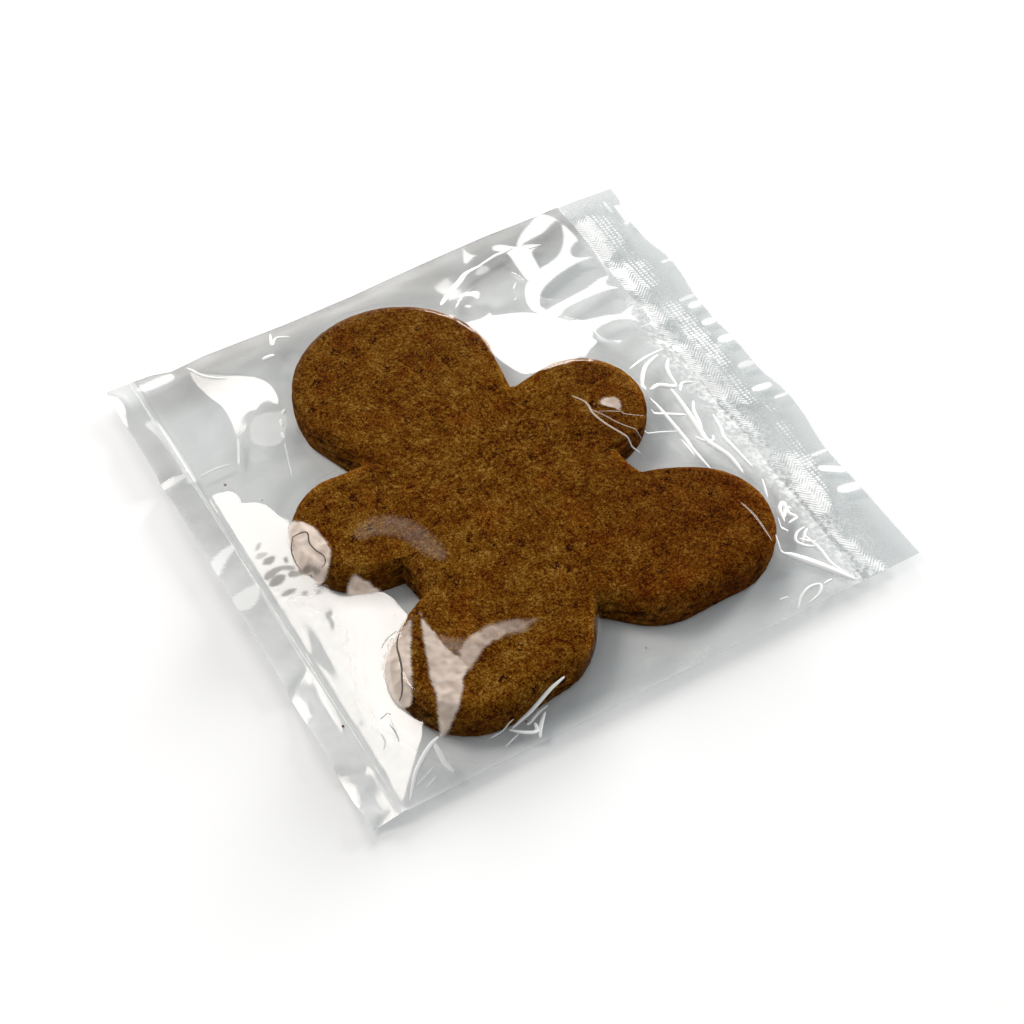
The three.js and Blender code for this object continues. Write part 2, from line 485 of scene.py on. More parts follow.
def crumbTree(material):
    # a squashed, lumpy ball at every point
    tree, given = newTree("crumbs", crumbForm)
    count = mathIn(tree)
    ball = addNode(tree, "GeometryNodeMeshIcoSphere", {"Radius": mm, "Subdivisions": 3})
    lumps = addNode(tree, "ShaderNodeTexNoise", {"Scale": 1.6 / mm, "Detail": 2.0}).outputs["Color"]
    lean = addNode(tree, "ShaderNodeVectorMath", {0: lumps, 1: (0.5, 0.5, 0.5)}, operation="SUBTRACT")
    reach = count("MULTIPLY", given["Spread"], 2 * mm)
    shift = addNode(tree, "ShaderNodeVectorMath", {0: lean, "Scale": reach}, operation="SCALE")
    lumpy = addNode(tree, "GeometryNodeSetPosition", {"Geometry": ball, "Offset": shift})
    turn = addNode(tree, "FunctionNodeRandomValue", {"Seed": given["Seed"], "Max": (0.4, 0.4, 6.28)},
                   data_type="FLOAT_VECTOR")
    across = count("MULTIPLY", pointField(tree, "size"), given["Size"])
    upright = count("MULTIPLY", across, given["Squash"])
    scale = addNode(tree, "ShaderNodeCombineXYZ", {"X": across, "Y": across, "Z": upright})
    laid = addNode(tree, "GeometryNodeInstanceOnPoints", {
        "Points": given["Geometry"], "Instance": lumpy, "Rotation": turn, "Scale": scale})
    return endTree(tree, laid, material)


def makeCrumbs(material):
    halfHeight = crumbForm["Size"] * crumbForm["Squash"]
    points = [(x * mm, y * mm, (height + size * halfHeight) * mm) for x, y, height, size in crumbPlaces]
    thing = meshObject("crumbs", points)
    paintPoints(thing, {"size": [place[3] for place in crumbPlaces]})
    runTree(thing, crumbTree(material), crumbForm)
    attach(thing, "root")
    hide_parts("sealed_bag")


makeCrumbs(gingerbread)
print("crumbs scattered")

# The film's sizes in millimetres. A pair is a stretch from none to all, along X, Y or away from the cookie.
film = {
    "length": (cadHigh.x - cadLow.x) / mm,
    "width": (cadHigh.y - cadLow.y) / mm,
    "weldSkirt": 7,
    "crimpBand": 15.7,
    "sealHeight": 2.1,
    "layerGap": 0.16,        # between the two layers where they lie together
    "overCookie": 0.5,       # film above the cookie's mean top
    "overRim": 0.35,         # the least above its rim
    "overTable": 0.3,
    "underside": 0.03,
    "tentFrom": 0.25, "tentSag": 1.15,   # how its underside leaves the table on the way to the folds
    "usualHeight": 6,
    "topInset": 4,           # where it lies on the cookie's flat top
    "firstFall": 12,
    "hem": 1.2,              # how far in from the folds and the weld it is held down
    "wallWidth": 1.7,
    "calmWeight": 0.02,      # how firmly the calm film keeps its slope, where a facet has 1
    "wallWeight": 0.0005,    # the same just outside the cookie's edge, where the film may fall steeply
    # how firmly it keeps its height
    "hold": {"top": 0.0006, "hem": 0.5, "weld": 1.0, "skirt": 0.02, "crimp": 0.06},
    "contact": 2.0,          # how hard the cookie and the table push it up
    "turns": (600, 200, 200, 200, 200, 200, 200),
    # its slopes, and where it falls gently beside the cookie
    "weldRise": 0.27, "weldRiseX": (-34, -40), "weldRiseY": (22, 16),
    "crimpFall": 0.08, "crimpFallX": (5, 25), "crimpEnd": (0, 6),
    "gentleHeadX": (18, 12), "gentleHeadY": (44, 50), "gentleLegX": (-42, -46), "gentleLegY": (-27, -32),
    "slopes": {"farFall": (-0.02, -0.33), "level": (0.0, -0.04), "crimpFall": (-0.1, -0.02)},
    "weldRidges": (-64.75, -63.55), "weldRidge": 0.16, "weldRidgeWidth": 0.34,
    "crimpWave": 0.45, "crimpPitch": 27,
    "crimpRipple": 0.1, "ripplePitch": 10.5,
    "crimpCalmY": (-45, -25), "crimpCalmest": 0.15,
    "fineStep": 0.42, "weldStep": 0.25, "plainStep": 0.75, "stepY": 0.45,
    "weldZone": (-66, -62.4),
    "plainZone": (-20, 12),
    "underEvery": 3,
    "sharpAngle": 0.7,       # edges that turn more than this, in radians, stay sharp
    "corners": ((-1.2, -1.2), (-1.4, 1.6), (0.9, -1.4), (0.9, 0.6)),   # how far each corner lies askew
    # how far the far fold bulges out along the bag
    "farBulge": ((-72, 2.0), (-60, 1.6), (-55, 0.2), (-46, 0.9), (-36, 0.6), (-24, 0.2), (-5, 0.4), (4, 0.9),
                 (14, 1.3), (22, 1.6), (34, 1.9), (45, 1.6), (60, 1.6), (72, 0.8)),
    # the bloom is partly the film's milkiness and partly painted light that lifts the shaded film beside the
    # cookie
    "bloom": 0.2,            # whiteness beside the cookie, with its share from the near fold to the far one
    "bloomShare": ([-70, -20, 20, 70], [1.2, 1.0, 0.65, 0.45]),
    "bloomFrom": (4.5, 9.5),
    "weldBloomX": (-52, -62), "weldBloomMost": 1.4,
    "weldBloomShare": ([0, 30], [1, 0.35]),
    "frost": 0.5, "frostX": (50, 55), "frostEndX": (61, 57), "frostY": (36, 28),
    # painted shade along Y at the far fold, and a painted shadow in the skirt
    "foldShade": ([54, 60, 64, 66.5, 69.5], [0, 0.2, 0.33, 0.38, 0.4]), "foldShadeX": (-64.5, -63),
    "skirtShade": 0.13, "skirtShadeX": (-64, -65), "skirtShadeY": (0, 20),
    # how far beside the cookie it has no shine, and where that ends at one leg
    "dullFrom": (-1.5, -0.5), "dullEnd": (3.2, 2), "shinyLegX": (-40, -43), "shinyLegY": (-27, -30),
    "outlineSoft": 0.5, "lensSoft": 0.35, "dullSoft": 0.8,
    # how uneven its looks are: strength, size of the lumps and seed
    "bloomLumps": (0.35, 9, 5), "bloomGrain": (0.15, 1.6, 8),
    "frostLumps": (0.5, 4, 15), "frostGrain": (1.3, 0.6, 14), "frostGround": 0.4,
    "blushBendX": (0.22, 0.9, 31), "blushBendY": (0.3, 1.1, 32),
    "blushGrain": (0.25, 1.1, 21), "blushStreaks": (0.2, 2.7, 22),
    "shadeLumps": (0.25, 7, 41),
}
film["crimpLine"] = film["length"] / 2 - film["crimpBand"]
film["weldLine"] = -film["length"] / 2 + film["weldSkirt"]

# Facets lean towards one of the softboxes and mirror it. Outlines go round each facet, in millimetres.
facets = {
    "besideHead": ("leftBox", [
        (-50.6, 66.7), (-50.6, 66.7), (-45, 59.9), (-38.6, 53.3), (-36.6, 48), (-36.6, 43.6), (-38.6, 43.4),
        (-41.9, 44.4), (-46.1, 42.5), (-49.5, 38.5), (-52.6, 33.5), (-52.6, 33.5), (-50.5, 40.5),
        (-48.5, 50), (-49.9, 56.7), (-50.8, 61.9)]),
    "headCell": ("level", [
        (-46.7, 40), (-43.4, 44), (-38.6, 42.5), (-36.8, 41.1), (-40.2, 34.4), (-43.6, 32.8),
        (-48.3, 36.8)]),
    "overLeftArm": ("leftBox", [
        (-62.6, 27), (-59.8, 26.4), (-58.3, 25.5), (-57.6, 22.9), (-57.9, 20.8), (-55.4, 18.7),
        (-53.9, 16.2), (-53, 11.5), (-51.9, 8.1), (-53.4, 5.8), (-54.6, 2.5), (-55.4, -0.3), (-55.8, -4.5),
        (-54.9, -6.3), (-53.9, -9.4), (-54.7, -9.8), (-55.1, -11.1), (-56.4, -11.5), (-57.6, -10.6),
        (-59.5, -9.3), (-61.6, -9), (-63, -9.6), (-63, -2), (-63, 5), (-63, 12), (-63, 20)]),
    "besideLeftLeg": ("leftBox", [
        (-59.7, -10.6), (-56.9, -11.9), (-56.9, -19.9), (-54.8, -19.1), (-51.9, -18.2), (-50.8, -17.7),
        (-48.2, -19.1), (-44.7, -21.2), (-43.2, -23.9), (-42.7, -27.9), (-41.9, -31.3), (-41.9, -31.3),
        (-45.6, -33.2), (-50.1, -36.4), (-53.4, -40), (-55, -46.2), (-54, -51), (-53, -57), (-56.1, -60.5),
        (-63.8, -68.5), (-63.8, -68.5), (-64.6, -66), (-63.2, -58), (-62.6, -50), (-60.6, -41), (-60.1, -30),
        (-59.7, -20)]),
    "besideNeck": ("backBox", [
        (13.3, 42.1), (13.3, 42.1), (16.8, 41.8), (20.1, 41.9), (25.5, 41.3), (29.8, 39.6), (32.9, 36.6),
        (35.4, 33.6), (38.2, 31.1), (39.6, 27.8), (39.5, 25.3), (38.1, 24), (38.5, 21.8), (34.8, 19.5),
        (32.1, 17.4), (28.1, 17.1), (22.9, 17.3), (15.4, 17.4), (15.4, 17.4), (13.8, 21.5), (12.6, 28),
        (13.3, 32.5)]),
    "crimpSide": ("crimpFall", [
        (41.5, 26), (41, 31), (38, 34), (37.5, 36.5), (44.8, 38.1), (54.9, 39.1), (55.1, 24.4),
        (44.2, 22.3)]),
    "farCell": ("farFall", [
        (14.5, 49), (18, 53), (24, 56.8), (33, 59.3), (33.5, 57), (33, 52), (30, 48.8), (28.5, 44.5),
        (22, 44.2), (16, 45)]),
    "farCorner": ("level", [
        (35.5, 47), (36, 52), (35, 60), (38, 66), (52, 67.5), (54.8, 60), (54.8, 46), (52, 42), (44, 42),
        (38, 43)]),
    "skirtFarCorner": ("leftBox", [
        (-71.8, 68), (-69.2, 68), (-68.4, 65), (-68.8, 62), (-70.2, 58), (-71.8, 53.5)]),
    "skirtFarBand": ("leftBox", [(-72, 38), (-65.2, 38), (-65.2, 36.4), (-70, 36), (-72, 35.6)]),
    "skirtNear": ("leftBox", [
        (-72.3, -32.5), (-66.5, -28), (-65.6, -28), (-65.6, -40), (-67, -47), (-67.4, -33), (-70, -37),
        (-72.5, -40)]),
    "skirtNearCorner": ("leftBox", [
        (-73, -55), (-68.5, -57.8), (-66, -57.5), (-65.6, -68.5), (-68.6, -67), (-69, -60.5), (-73.3, -65)]),
    "skirtTip": ("leftBox", [(-71.5, -71.5), (-69.3, -69.5), (-65.8, -69.2), (-64.5, -71.5)]),
}

# Streaks are narrow facets along a line: light, full width and the points on the line.
streaks = {
    "weldStroke": ("leftBox", 0.8, [
        (-61.6, -10), (-62.2, -17), (-63, -22), (-64, -25), (-62.8, -33), (-62.4, -46)]),
}

# Small lenses inside a facet where the film lies back: middle, length, width and turn in degrees.
lenses = [
    ((17.3, 40.6), 3.6, 0.8, 45), ((-56, -21), 2.2, 0.9, 60), ((-51.6, -28.5), 2.2, 0.7, 50),
    ((-56.5, -38), 6, 0.35, 55), ((-57.3, -52), 6, 0.35, 80),
]

# Painted reflections: pinkish patches where the film clings to the cookie and shines: whiteness, soft edge
# and outline.
paintedPinkReflections = {
    "armSmear": (0.06, 1.6, [
        (-41.1, -3.6), (-36.3, -1.9), (-31.2, -3.7), (-27.8, -8.5), (-26.2, -15), (-26.5, -19.3),
        (-28.1, -20), (-30.3, -17.6), (-31.5, -13.6), (-33.4, -9.2), (-37, -6.5), (-40.3, -6.3)]),
    "armOval": (0.64, 0.4, [
        (-52, 7.6), (-50.4, 5.6), (-48.7, 2.7), (-48, -0.9), (-48, -4.2), (-49.3, -7.2), (-51, -9.3),
        (-52.7, -10.2), (-54.1, -10.3), (-54, -7.7), (-55.8, -5), (-55.8, -2.6), (-55.1, 0.6), (-54, 4),
        (-53.1, 6.2)]),
    "legStrip": (0.58, 0.35, [
        (-41.9, -32.1), (-41.9, -32.1), (-43.8, -32.6), (-46.1, -33.3), (-49.5, -34.8), (-51.7, -37),
        (-53, -39.4), (-53.9, -42.7), (-54.3, -46.2), (-54, -48.5), (-53.2, -49.9), (-51.5, -49.7),
        (-50.2, -47.3), (-48.7, -44.4), (-47.2, -41.2), (-45.4, -38.1), (-43.4, -34.8)]),
    "legStem": (0.51, 0.4, [
        (-39.7, -32.2), (-39.7, -32.2), (-39.3, -37.1), (-38.9, -42.4), (-37.7, -45.9), (-37.8, -49.7),
        (-39.4, -50.8), (-43.5, -56.4), (-47.6, -59.4), (-50.5, -60.3), (-50.5, -60.3), (-49, -57),
        (-47.8, -54.5), (-46.6, -51.6), (-45.9, -48.1), (-44.6, -44.7), (-42.9, -40.1), (-41.4, -36.4)]),
    "legBranch": (0.33, 0.7, [
        (-38.2, -47.5), (-35.3, -43.1), (-30.2, -41.9), (-27, -42.1), (-25.4, -45.2), (-29, -45.7),
        (-33.1, -47), (-37.9, -49.9)]),
    "armMoon": (0.5, 0.3, [
        (27.4, 2.1), (28.6, 3.1), (30.4, 2.9), (31.6, 1.9), (31.7, 0.3), (30.3, -1.9), (29.9, -1.2),
        (28.9, 0.3)]),
    "legVeil": (0.1, 1.6, [
        (-38.7, -38.5), (-36.9, -40.4), (-34.9, -42.3), (-37.7, -46.5), (-38.4, -44.3), (-39.3, -41.3)]),
    "armFeather": (0.42, 0.5, [
        (-49.1, -15.3), (-47.5, -14), (-46.2, -14.6), (-45.7, -16.1), (-45, -17.1), (-44.6, -19.4),
        (-44.1, -21.4), (-47.4, -19.3), (-49.6, -17.3)]),
    "legFeather": (0.24, 1.6, [
        (-28.5, -42), (-24, -42.6), (-18.9, -45.2), (-18.9, -45.2), (-22.3, -46.4), (-25.4, -45.6),
        (-28, -45.2)]),
}

# Painted highlights: white patches where slack or folded film catches the light: whiteness and outline.
patches = {
    "overLeftArm": (0.4, [
        (-61.5, 27.2), (-59.8, 26.4), (-58.3, 25.5), (-57.6, 22.9), (-57.9, 20.8), (-55.4, 18.7),
        (-53.9, 16.2), (-53, 11.5), (-51.7, 8.1), (-53.2, 5.8), (-54.4, 2.5), (-55.2, -0.3), (-55.6, -4.5),
        (-54.7, -6.3), (-53.7, -9.4), (-54.7, -9.8), (-55.1, -11.1), (-56.4, -11.5), (-57.6, -10.6),
        (-59.5, -9.3), (-61.6, -9), (-63.5, -9.6), (-63.6, -8.2), (-62.8, -6.3), (-61.8, -4.4),
        (-63.2, -2.6), (-63.4, 0.1), (-63.9, 2.2), (-63, 4.4), (-63, 7.3), (-63, 11.2), (-63, 14.6),
        (-62.7, 17.8), (-63, 19.8)]),
    "headCell": (0.4, [
        (-46.9, 39.7), (-43.5, 43.5), (-38.7, 42.1), (-37, 40.5), (-40.4, 34.1), (-43.7, 32.5),
        (-47.5, 35.6)]),
    "hemStrip": (0.8, [(-63, 66), (-62.8, 68), (-55, 68.2), (-54.6, 66.1), (-58.8, 65.6)]),
    "skirtMiddle": (0.85, [
        (-71.5, 9.9), (-68, 12.1), (-64.7, 12.5), (-65, 10.8), (-67.1, 9.4), (-69.3, 7.4), (-71.7, 5.6)]),
    "skirtMiddleNear": (0.85, [
        (-71.7, -1.8), (-69.1, -0.6), (-66.5, -0.4), (-64.6, -0.7), (-65.3, -3.2), (-67.5, -5.6),
        (-69.9, -6.2), (-71.9, -5.1)]),
    "skirtBand": (0.7, [(-72, 37.8), (-65.3, 37.5), (-65.3, 36.2), (-72, 35.8)]),
    "starTrunk": (0.9, [
        (34.5, 66.2), (35.5, 67.4), (37.7, 66.5), (40, 64.4), (43.3, 63.4), (45.3, 61.8), (42.6, 60.4),
        (41.6, 56.3), (40.9, 53.7), (38.2, 51.6), (36.4, 52.1), (36.6, 57.3), (37, 62.6), (36.1, 64.4)]),
    "starTop": (0.9, [
        (40.5, 63.6), (43.5, 64.6), (48.6, 65.3), (52.1, 67), (53.9, 67.5), (54.5, 66.8), (53.6, 69.6),
        (51.1, 71.6), (47.5, 69.9), (44.1, 68), (41, 65.2)]),
    "starMiddle": (0.9, [
        (40.6, 53.9), (44.3, 54.7), (47.4, 55.8), (49.9, 57.8), (52.5, 61.3), (54.5, 65.4), (55.1, 61.9),
        (54.9, 58.4), (53, 57.5), (51.2, 55.8), (50.8, 53.9), (51.9, 52.5), (54.8, 51.1), (50.3, 51.1),
        (45.3, 50.2), (41.2, 48.8), (38.1, 47.2), (35.3, 44.4), (33.5, 40.9), (33.8, 38), (31.4, 38.8),
        (31.1, 42.9), (33.7, 48.2), (36.7, 51.9)]),
    "starThird": (0.9, [
        (32.9, 37.2), (36.4, 39.5), (43, 41.1), (48.1, 42), (52.2, 43.2), (54.6, 43), (53, 41.5), (53.1, 40),
        (54.9, 38.4), (51.2, 39), (44.9, 38.6), (39.5, 37.8), (36, 35.8), (33.3, 35.7)]),
    "starFourth": (0.9, [
        (36.3, 32.2), (42.2, 31.4), (46.7, 30.8), (50, 29.9), (52.2, 30.5), (54.6, 31.1), (52.7, 29.1),
        (52.6, 27.7), (53, 25.6), (51.4, 27.2), (47.7, 28.6), (43.1, 28.1), (40.8, 27.1), (39.8, 28.4),
        (37.8, 29.6)]),
    "smallTriangle": (0.9, [
        (25.8, 65.3), (28.1, 70.2), (28.1, 70.2), (28.8, 67.4), (30, 66.9), (28.9, 66.4)]),
    "farBlob": (0.85, [(18.6, 54.9), (21.6, 55.1), (23.2, 53.7), (21.6, 51), (20.9, 53.2)]),
    "farDot": (0.6, [(17.2, 49.7), (17.9, 50.1), (18.5, 49), (17.7, 48.5)]),
    "faintLight": (0.3, [(26.5, 60), (30.4, 60.5), (29.5, 62.6), (27, 61.8)]),
}

# Wide soft painted light: it lifts the shade beside the legs and lights a streak along the weld: whiteness,
# soft edge and outline.
paintedLightVeils = {
    "crotchLight": (0.13, 3.0, [
        (-4.9, -51.7), (3.7, -56.8), (10.8, -59.5), (19.7, -60.7), (28.5, -59.4), (37.7, -59.1),
        (38.2, -62.4), (15.3, -66.2), (-4.5, -64.5), (-18.3, -64.7), (-11.8, -59.6), (-8.3, -56.5)]),
    "legShadow": (0.17, 1.5, [
        (-50, -63), (-45, -65.5), (-38, -67.5), (-30, -70), (-46, -70.5), (-52, -70.5), (-53, -65)]),
    "weldStreak": (0.6, 0.8, [
        (-66.8, 56), (-65.8, 50.9), (-65.4, 44.4), (-65.5, 37), (-65.6, 33.9), (-63.6, 33.9), (-63.3, 37.1),
        (-63.2, 44.4), (-63.4, 50.9), (-64.3, 56.1)]),
}

# Places where the film clings without any shine.
dullPlaces = [
    [(-49.1, 38.5), (-45.4, 36), (-44.6, 31.5), (-46.6, 29.8), (-49.7, 31.1), (-50.5, 35)],
    [(-37.6, 34), (-35.5, 28.8), (-30.5, 21.6), (-28.5, 16.8), (-29.4, 13.7), (-35.6, 13), (-37.9, 21.5),
     (-38, 30.6)],
    [(-33.8, 16.7), (-42, 13.3), (-49.1, 10.7), (-51.5, 8.7), (-51.3, 6.3), (-46, 10.4), (-38.8, 13.1),
     (-33.1, 14.2)],
    [(-52.6, -10.5), (-47, -11), (-41, -15), (-36.5, -17), (-38, -24.5), (-40.3, -23.8), (-44.1, -21.4),
     (-47.4, -19.3), (-51.8, -15.5)],
    [(-38.5, -14.4), (-36.1, -15.8), (-36.2, -22.1), (-37, -26.9), (-38.4, -29.5), (-39.6, -24.8),
     (-40.6, -17.2)],
]

# Painted shade: small dark lens shapes in the white facet over the arm, where the film mirrors the dark
# side: darkness and outline.
lensShapes = [
    (0.55, [(-61.2, 7.5), (-60.2, 8.6), (-59.3, 8.5), (-60.3, 7.4)]),
    (0.4, [(-62, 5.8), (-61, 6.5), (-59.4, 5.4), (-59.5, 4.8), (-61.2, 4.9)]),
    (0.62, [(-61.4, 3.3), (-60.5, 4.2), (-58.6, 3.5), (-58.5, 2.7), (-59.8, 1.9), (-61, 2.7)]),
    (0.62, [(-62.9, -0.3), (-62, 0.8), (-60.2, 0.7), (-58.3, -0.1), (-56.5, -1.7), (-56.1, -2.9),
        (-56.8, -3), (-58.7, -1.2), (-60.7, -1.1), (-62.1, -1.3)]),
    (0.68, [(-62.7, -2.4), (-61.5, -1.3), (-60, -1.5), (-58.7, -2.8), (-59.5, -3.9), (-60.9, -4),
        (-62.4, -3.2)]),
    (0.68, [(-58.2, -3.3), (-57.4, -2.7), (-56.4, -3.5), (-57.2, -4.4), (-58, -4.2)]),
    (0.72, [(-56.9, 1.3), (-56.3, 1), (-56.6, -0.2), (-57.2, -0.3), (-57.2, 0.8)]),
    (0.6, [(-61.7, -6.8), (-60.9, -6.3), (-59.7, -6.5), (-58.3, -7.5), (-59.1, -8.1), (-60.6, -7.7),
        (-61.4, -7.4)]),
    (0.62, [(-58.1, -9.5), (-57.1, -9.4), (-56.6, -10.1), (-57.5, -10.5)]),
    (0.6, [(-55.5, -4.1), (-54, -5.2), (-53.3, -6.3), (-52.4, -8.4), (-53.4, -8.2), (-53.9, -6.7),
        (-56.1, -5.3), (-57.7, -4.6), (-56.7, -3.8)]),
]


def crimpWave(x, y):
    # waves of the crimped end, calmer towards its near corner
    wave = film["crimpWave"] * np.sin(2 * math.pi * y / film["crimpPitch"])
    wave += film["crimpRipple"] * np.sin(2 * math.pi * y / film["ripplePitch"] + 1)
    return wave * np.maximum(rise(y, *film["crimpCalmY"]), film["crimpCalmest"])


def cookieTop(x, y):
    # height of the cookie under the film, or of the table, and the distance from the outline
    rim = [row for row in cookie["edge"] if row[1] >= cookie["widestAt"]][::-1]
    beyond = outlineDistance(x, y)
    return np.where(beyond < 0, cookie["thickness"] * np.interp(-beyond, *zip(*rim)), 0), beyond


def rounded(points, closed, perStep=5):
    # a smooth curve through the points, sharp where a point is given twice
    points = np.array(points, float)
    count = len(points)
    curve = []
    for i in range(count if closed else count - 1):
        before, start = points[i - 1 if closed else max(i - 1, 0)], points[i]
        end = points[(i + 1) % count]
        after = points[(i + 2) % count if closed else min(i + 2, count - 1)]
        for share in np.linspace(0, 1, perStep, endpoint=False):
            curve.append(0.5 * (2 * start + (end - before) * share
                                + (2 * before - 5 * start + 4 * end - after) * share ** 2
                                + (3 * start - 3 * end + after - before) * share ** 3))
    return np.array(curve if closed else curve + [points[-1]])


def segmentDistance(x, y, start, end):
    # distance from a straight piece of line, and the share of the way along it
    along = end - start
    lengthSquared = max(float(along @ along), 1e-12)
    share = np.clip(((x - start[0]) * along[0] + (y - start[1]) * along[1]) / lengthSquared, 0, 1)
    return np.hypot(x - start[0] - share * along[0], y - start[1] - share * along[1]), share


def insideOutline(x, y, outline, soft):
    # 1 inside a closed outline and 0 outside, over a soft edge
    curve = rounded(outline, True)
    distance = np.full(x.shape, np.inf)
    inside = np.zeros(x.shape, bool)
    for start, end in zip(curve, np.roll(curve, -1, axis=0)):
        distance = np.minimum(distance, segmentDistance(x, y, start, end)[0])
        if start[1] != end[1]:
            crossing = start[0] + (y - start[1]) * (end[0] - start[0]) / (end[1] - start[1])
            inside ^= ((start[1] > y) != (end[1] > y)) & (x < crossing)
    return np.clip(0.5 + np.where(inside, distance, -distance) / soft, 0, 1)


def alongStreak(x, y, width, points, soft):
    # 1 along a line that is thickest in its middle and comes to a point at both ends
    curve = rounded(points, False)
    inside = np.zeros(x.shape)
    for i in range(len(curve) - 1):
        distance, share = segmentDistance(x, y, curve[i], curve[i + 1])
        place = (i + share) / (len(curve) - 1)
        halfWidth = 0.5 * width * (4 * place * (1 - place)) ** 0.3
        inside = np.maximum(inside, np.clip(0.5 + (halfWidth - distance) / soft, 0, 1))
    return inside


def mirrorSlope(boxName, x, y):
    # the slopes along x and y with which the film mirrors the softbox's middle to the camera, place by place
    box = softboxes[boxName]
    lamp = Vector(box["towards"]).normalized() * (box["distance"] / mm)
    eye = Vector(view["target"]) - cameraAhead() * view["distance"]
    half = np.zeros(x.shape + (3,))
    for point in (lamp, eye):
        way = np.stack([point.x - x, point.y - y, np.full(x.shape, point.z - film["usualHeight"])], axis=-1)
        half += way / np.linalg.norm(way, axis=-1, keepdims=True)
    return -half[..., 0] / half[..., 2], -half[..., 1] / half[..., 2]


def filmLines():
    # the net's lines, closer where the film is creased
    half, fine = film["length"] / 2, film["fineStep"]
    marks = [-half, *film["weldZone"], *film["plainZone"], film["crimpLine"]]
    steps = [fine, film["weldStep"], fine, film["plainStep"], fine]
    x = [np.linspace(low, high, max(2, round((high - low) / step)), endpoint=False)
         for low, high, step in zip(marks, marks[1:], steps)]
    x = np.append(np.concatenate(x), film["crimpLine"])
    # the underside has only some of the lines, so a few are left out to make the number fit
    every = film["underEvery"]
    spare = (len(x) - 1) % every
    x = np.delete(x, np.arange(1, spare + 1) * every)
    bandLines = np.linspace(film["crimpLine"], half, round(film["crimpBand"] / fine) + 1)[1:]
    countY = every * round(film["width"] / film["stepY"] / every) + 1
    return np.concatenate([x, bandLines]), np.linspace(-film["width"] / 2, film["width"] / 2, countY)


def skewAt(x, y):
    # how far the bag's slightly skewed rectangle lies from the plain one
    u, v = x / film["length"] + 0.5, y / film["width"] + 0.5
    shares = (1 - u) * (1 - v), u * (1 - v), (1 - u) * v, u * v
    moveX, moveY = [sum(corner[i] * share for corner, share in zip(film["corners"], shares)) for i in (0, 1)]
    return moveX, moveY + np.interp(x, *zip(*film["farBulge"])) * np.clip(v * 6 - 5, 0, 1) ** 2


def askew(x, y):
    moveX, moveY = skewAt(x, y)
    return x + moveX, y + moveY


def overNet(net, x, y):
    # height of the solved film over places of the skewed bag
    plainX, plainY = x, y
    for _ in range(3):
        moveX, moveY = skewAt(plainX, plainY)
        plainX, plainY = x - moveX, y - moveY
    lineX, lineY, height = net
    u = np.interp(plainX, lineX, np.arange(len(lineX)))
    v = np.interp(plainY, lineY, np.arange(len(lineY)))
    i, j = np.minimum(u.astype(int), len(lineX) - 2), np.minimum(v.astype(int), len(lineY) - 2)
    u, v = u - i, v - j
    near = height[i, j] * (1 - u) + height[i + 1, j] * u
    far = height[i, j + 1] * (1 - u) + height[i + 1, j + 1] * u
    return near * (1 - v) + far * v


def filmTargets(x, y, soft):
    # the slopes that the film should have, and how firmly it holds them
    beyond = outlineDistance(x, y)
    toCrimp = np.maximum(film["crimpLine"] - x, 1)
    slopeX = -film["crimpFall"] * rise(x, *film["crimpFallX"])
    slopeX = slopeX * rise(toCrimp, *film["crimpEnd"]) * rise(beyond, 0, 2)
    weldSide = rise(x, *film["weldRiseX"]) * rise(beyond, -1, 0) * rise(y, *film["weldRiseY"])
    slopeX += film["weldRise"] * weldSide * (x > film["weldLine"] + 1)
    slopeY = np.zeros(x.shape)
    weight = np.full(x.shape, film["calmWeight"])
    wall = (beyond > -0.3) & (beyond < film["wallWidth"])
    # beyond the head and beside the leg on the weld's side the film falls gently
    gentle = np.maximum(rise(x, *film["gentleHeadX"]) * rise(y, *film["gentleHeadY"]),
                        rise(x, *film["gentleLegX"]) * rise(y, *film["gentleLegY"]))
    weight[wall] = film["wallWeight"] * (film["calmWeight"] / film["wallWeight"]) ** gentle[wall]

    slopes = {box: mirrorSlope(box, x, y) for box in softboxes} | film["slopes"]
    leans = [(insideOutline(x, y, outline, soft), slopes[box], 1.0) for box, outline in facets.values()]
    for box, width, points in streaks.values():
        leans.append((alongStreak(x, y, width, points, soft), slopes[box], 1.0))
    for (middleX, middleY), length, width, turn in lenses:
        turn = math.radians(turn)
        dx, dy = x - middleX, y - middleY
        along, across = dx * math.cos(turn) + dy * math.sin(turn), dy * math.cos(turn) - dx * math.sin(turn)
        size = np.hypot(along / (length / 2), across / (width / 2))
        leans.append((np.clip(0.5 + (1 - size) * width / 2 / soft, 0, 1), (0.0, 0.0), 1.0))
    for share, (wantedX, wantedY), firmness in leans:
        slopeX = slopeX * (1 - share) + wantedX * share
        slopeY = slopeY * (1 - share) + wantedY * share
        weight = weight * (1 - share) + firmness * share
    return slopeX, slopeY, weight


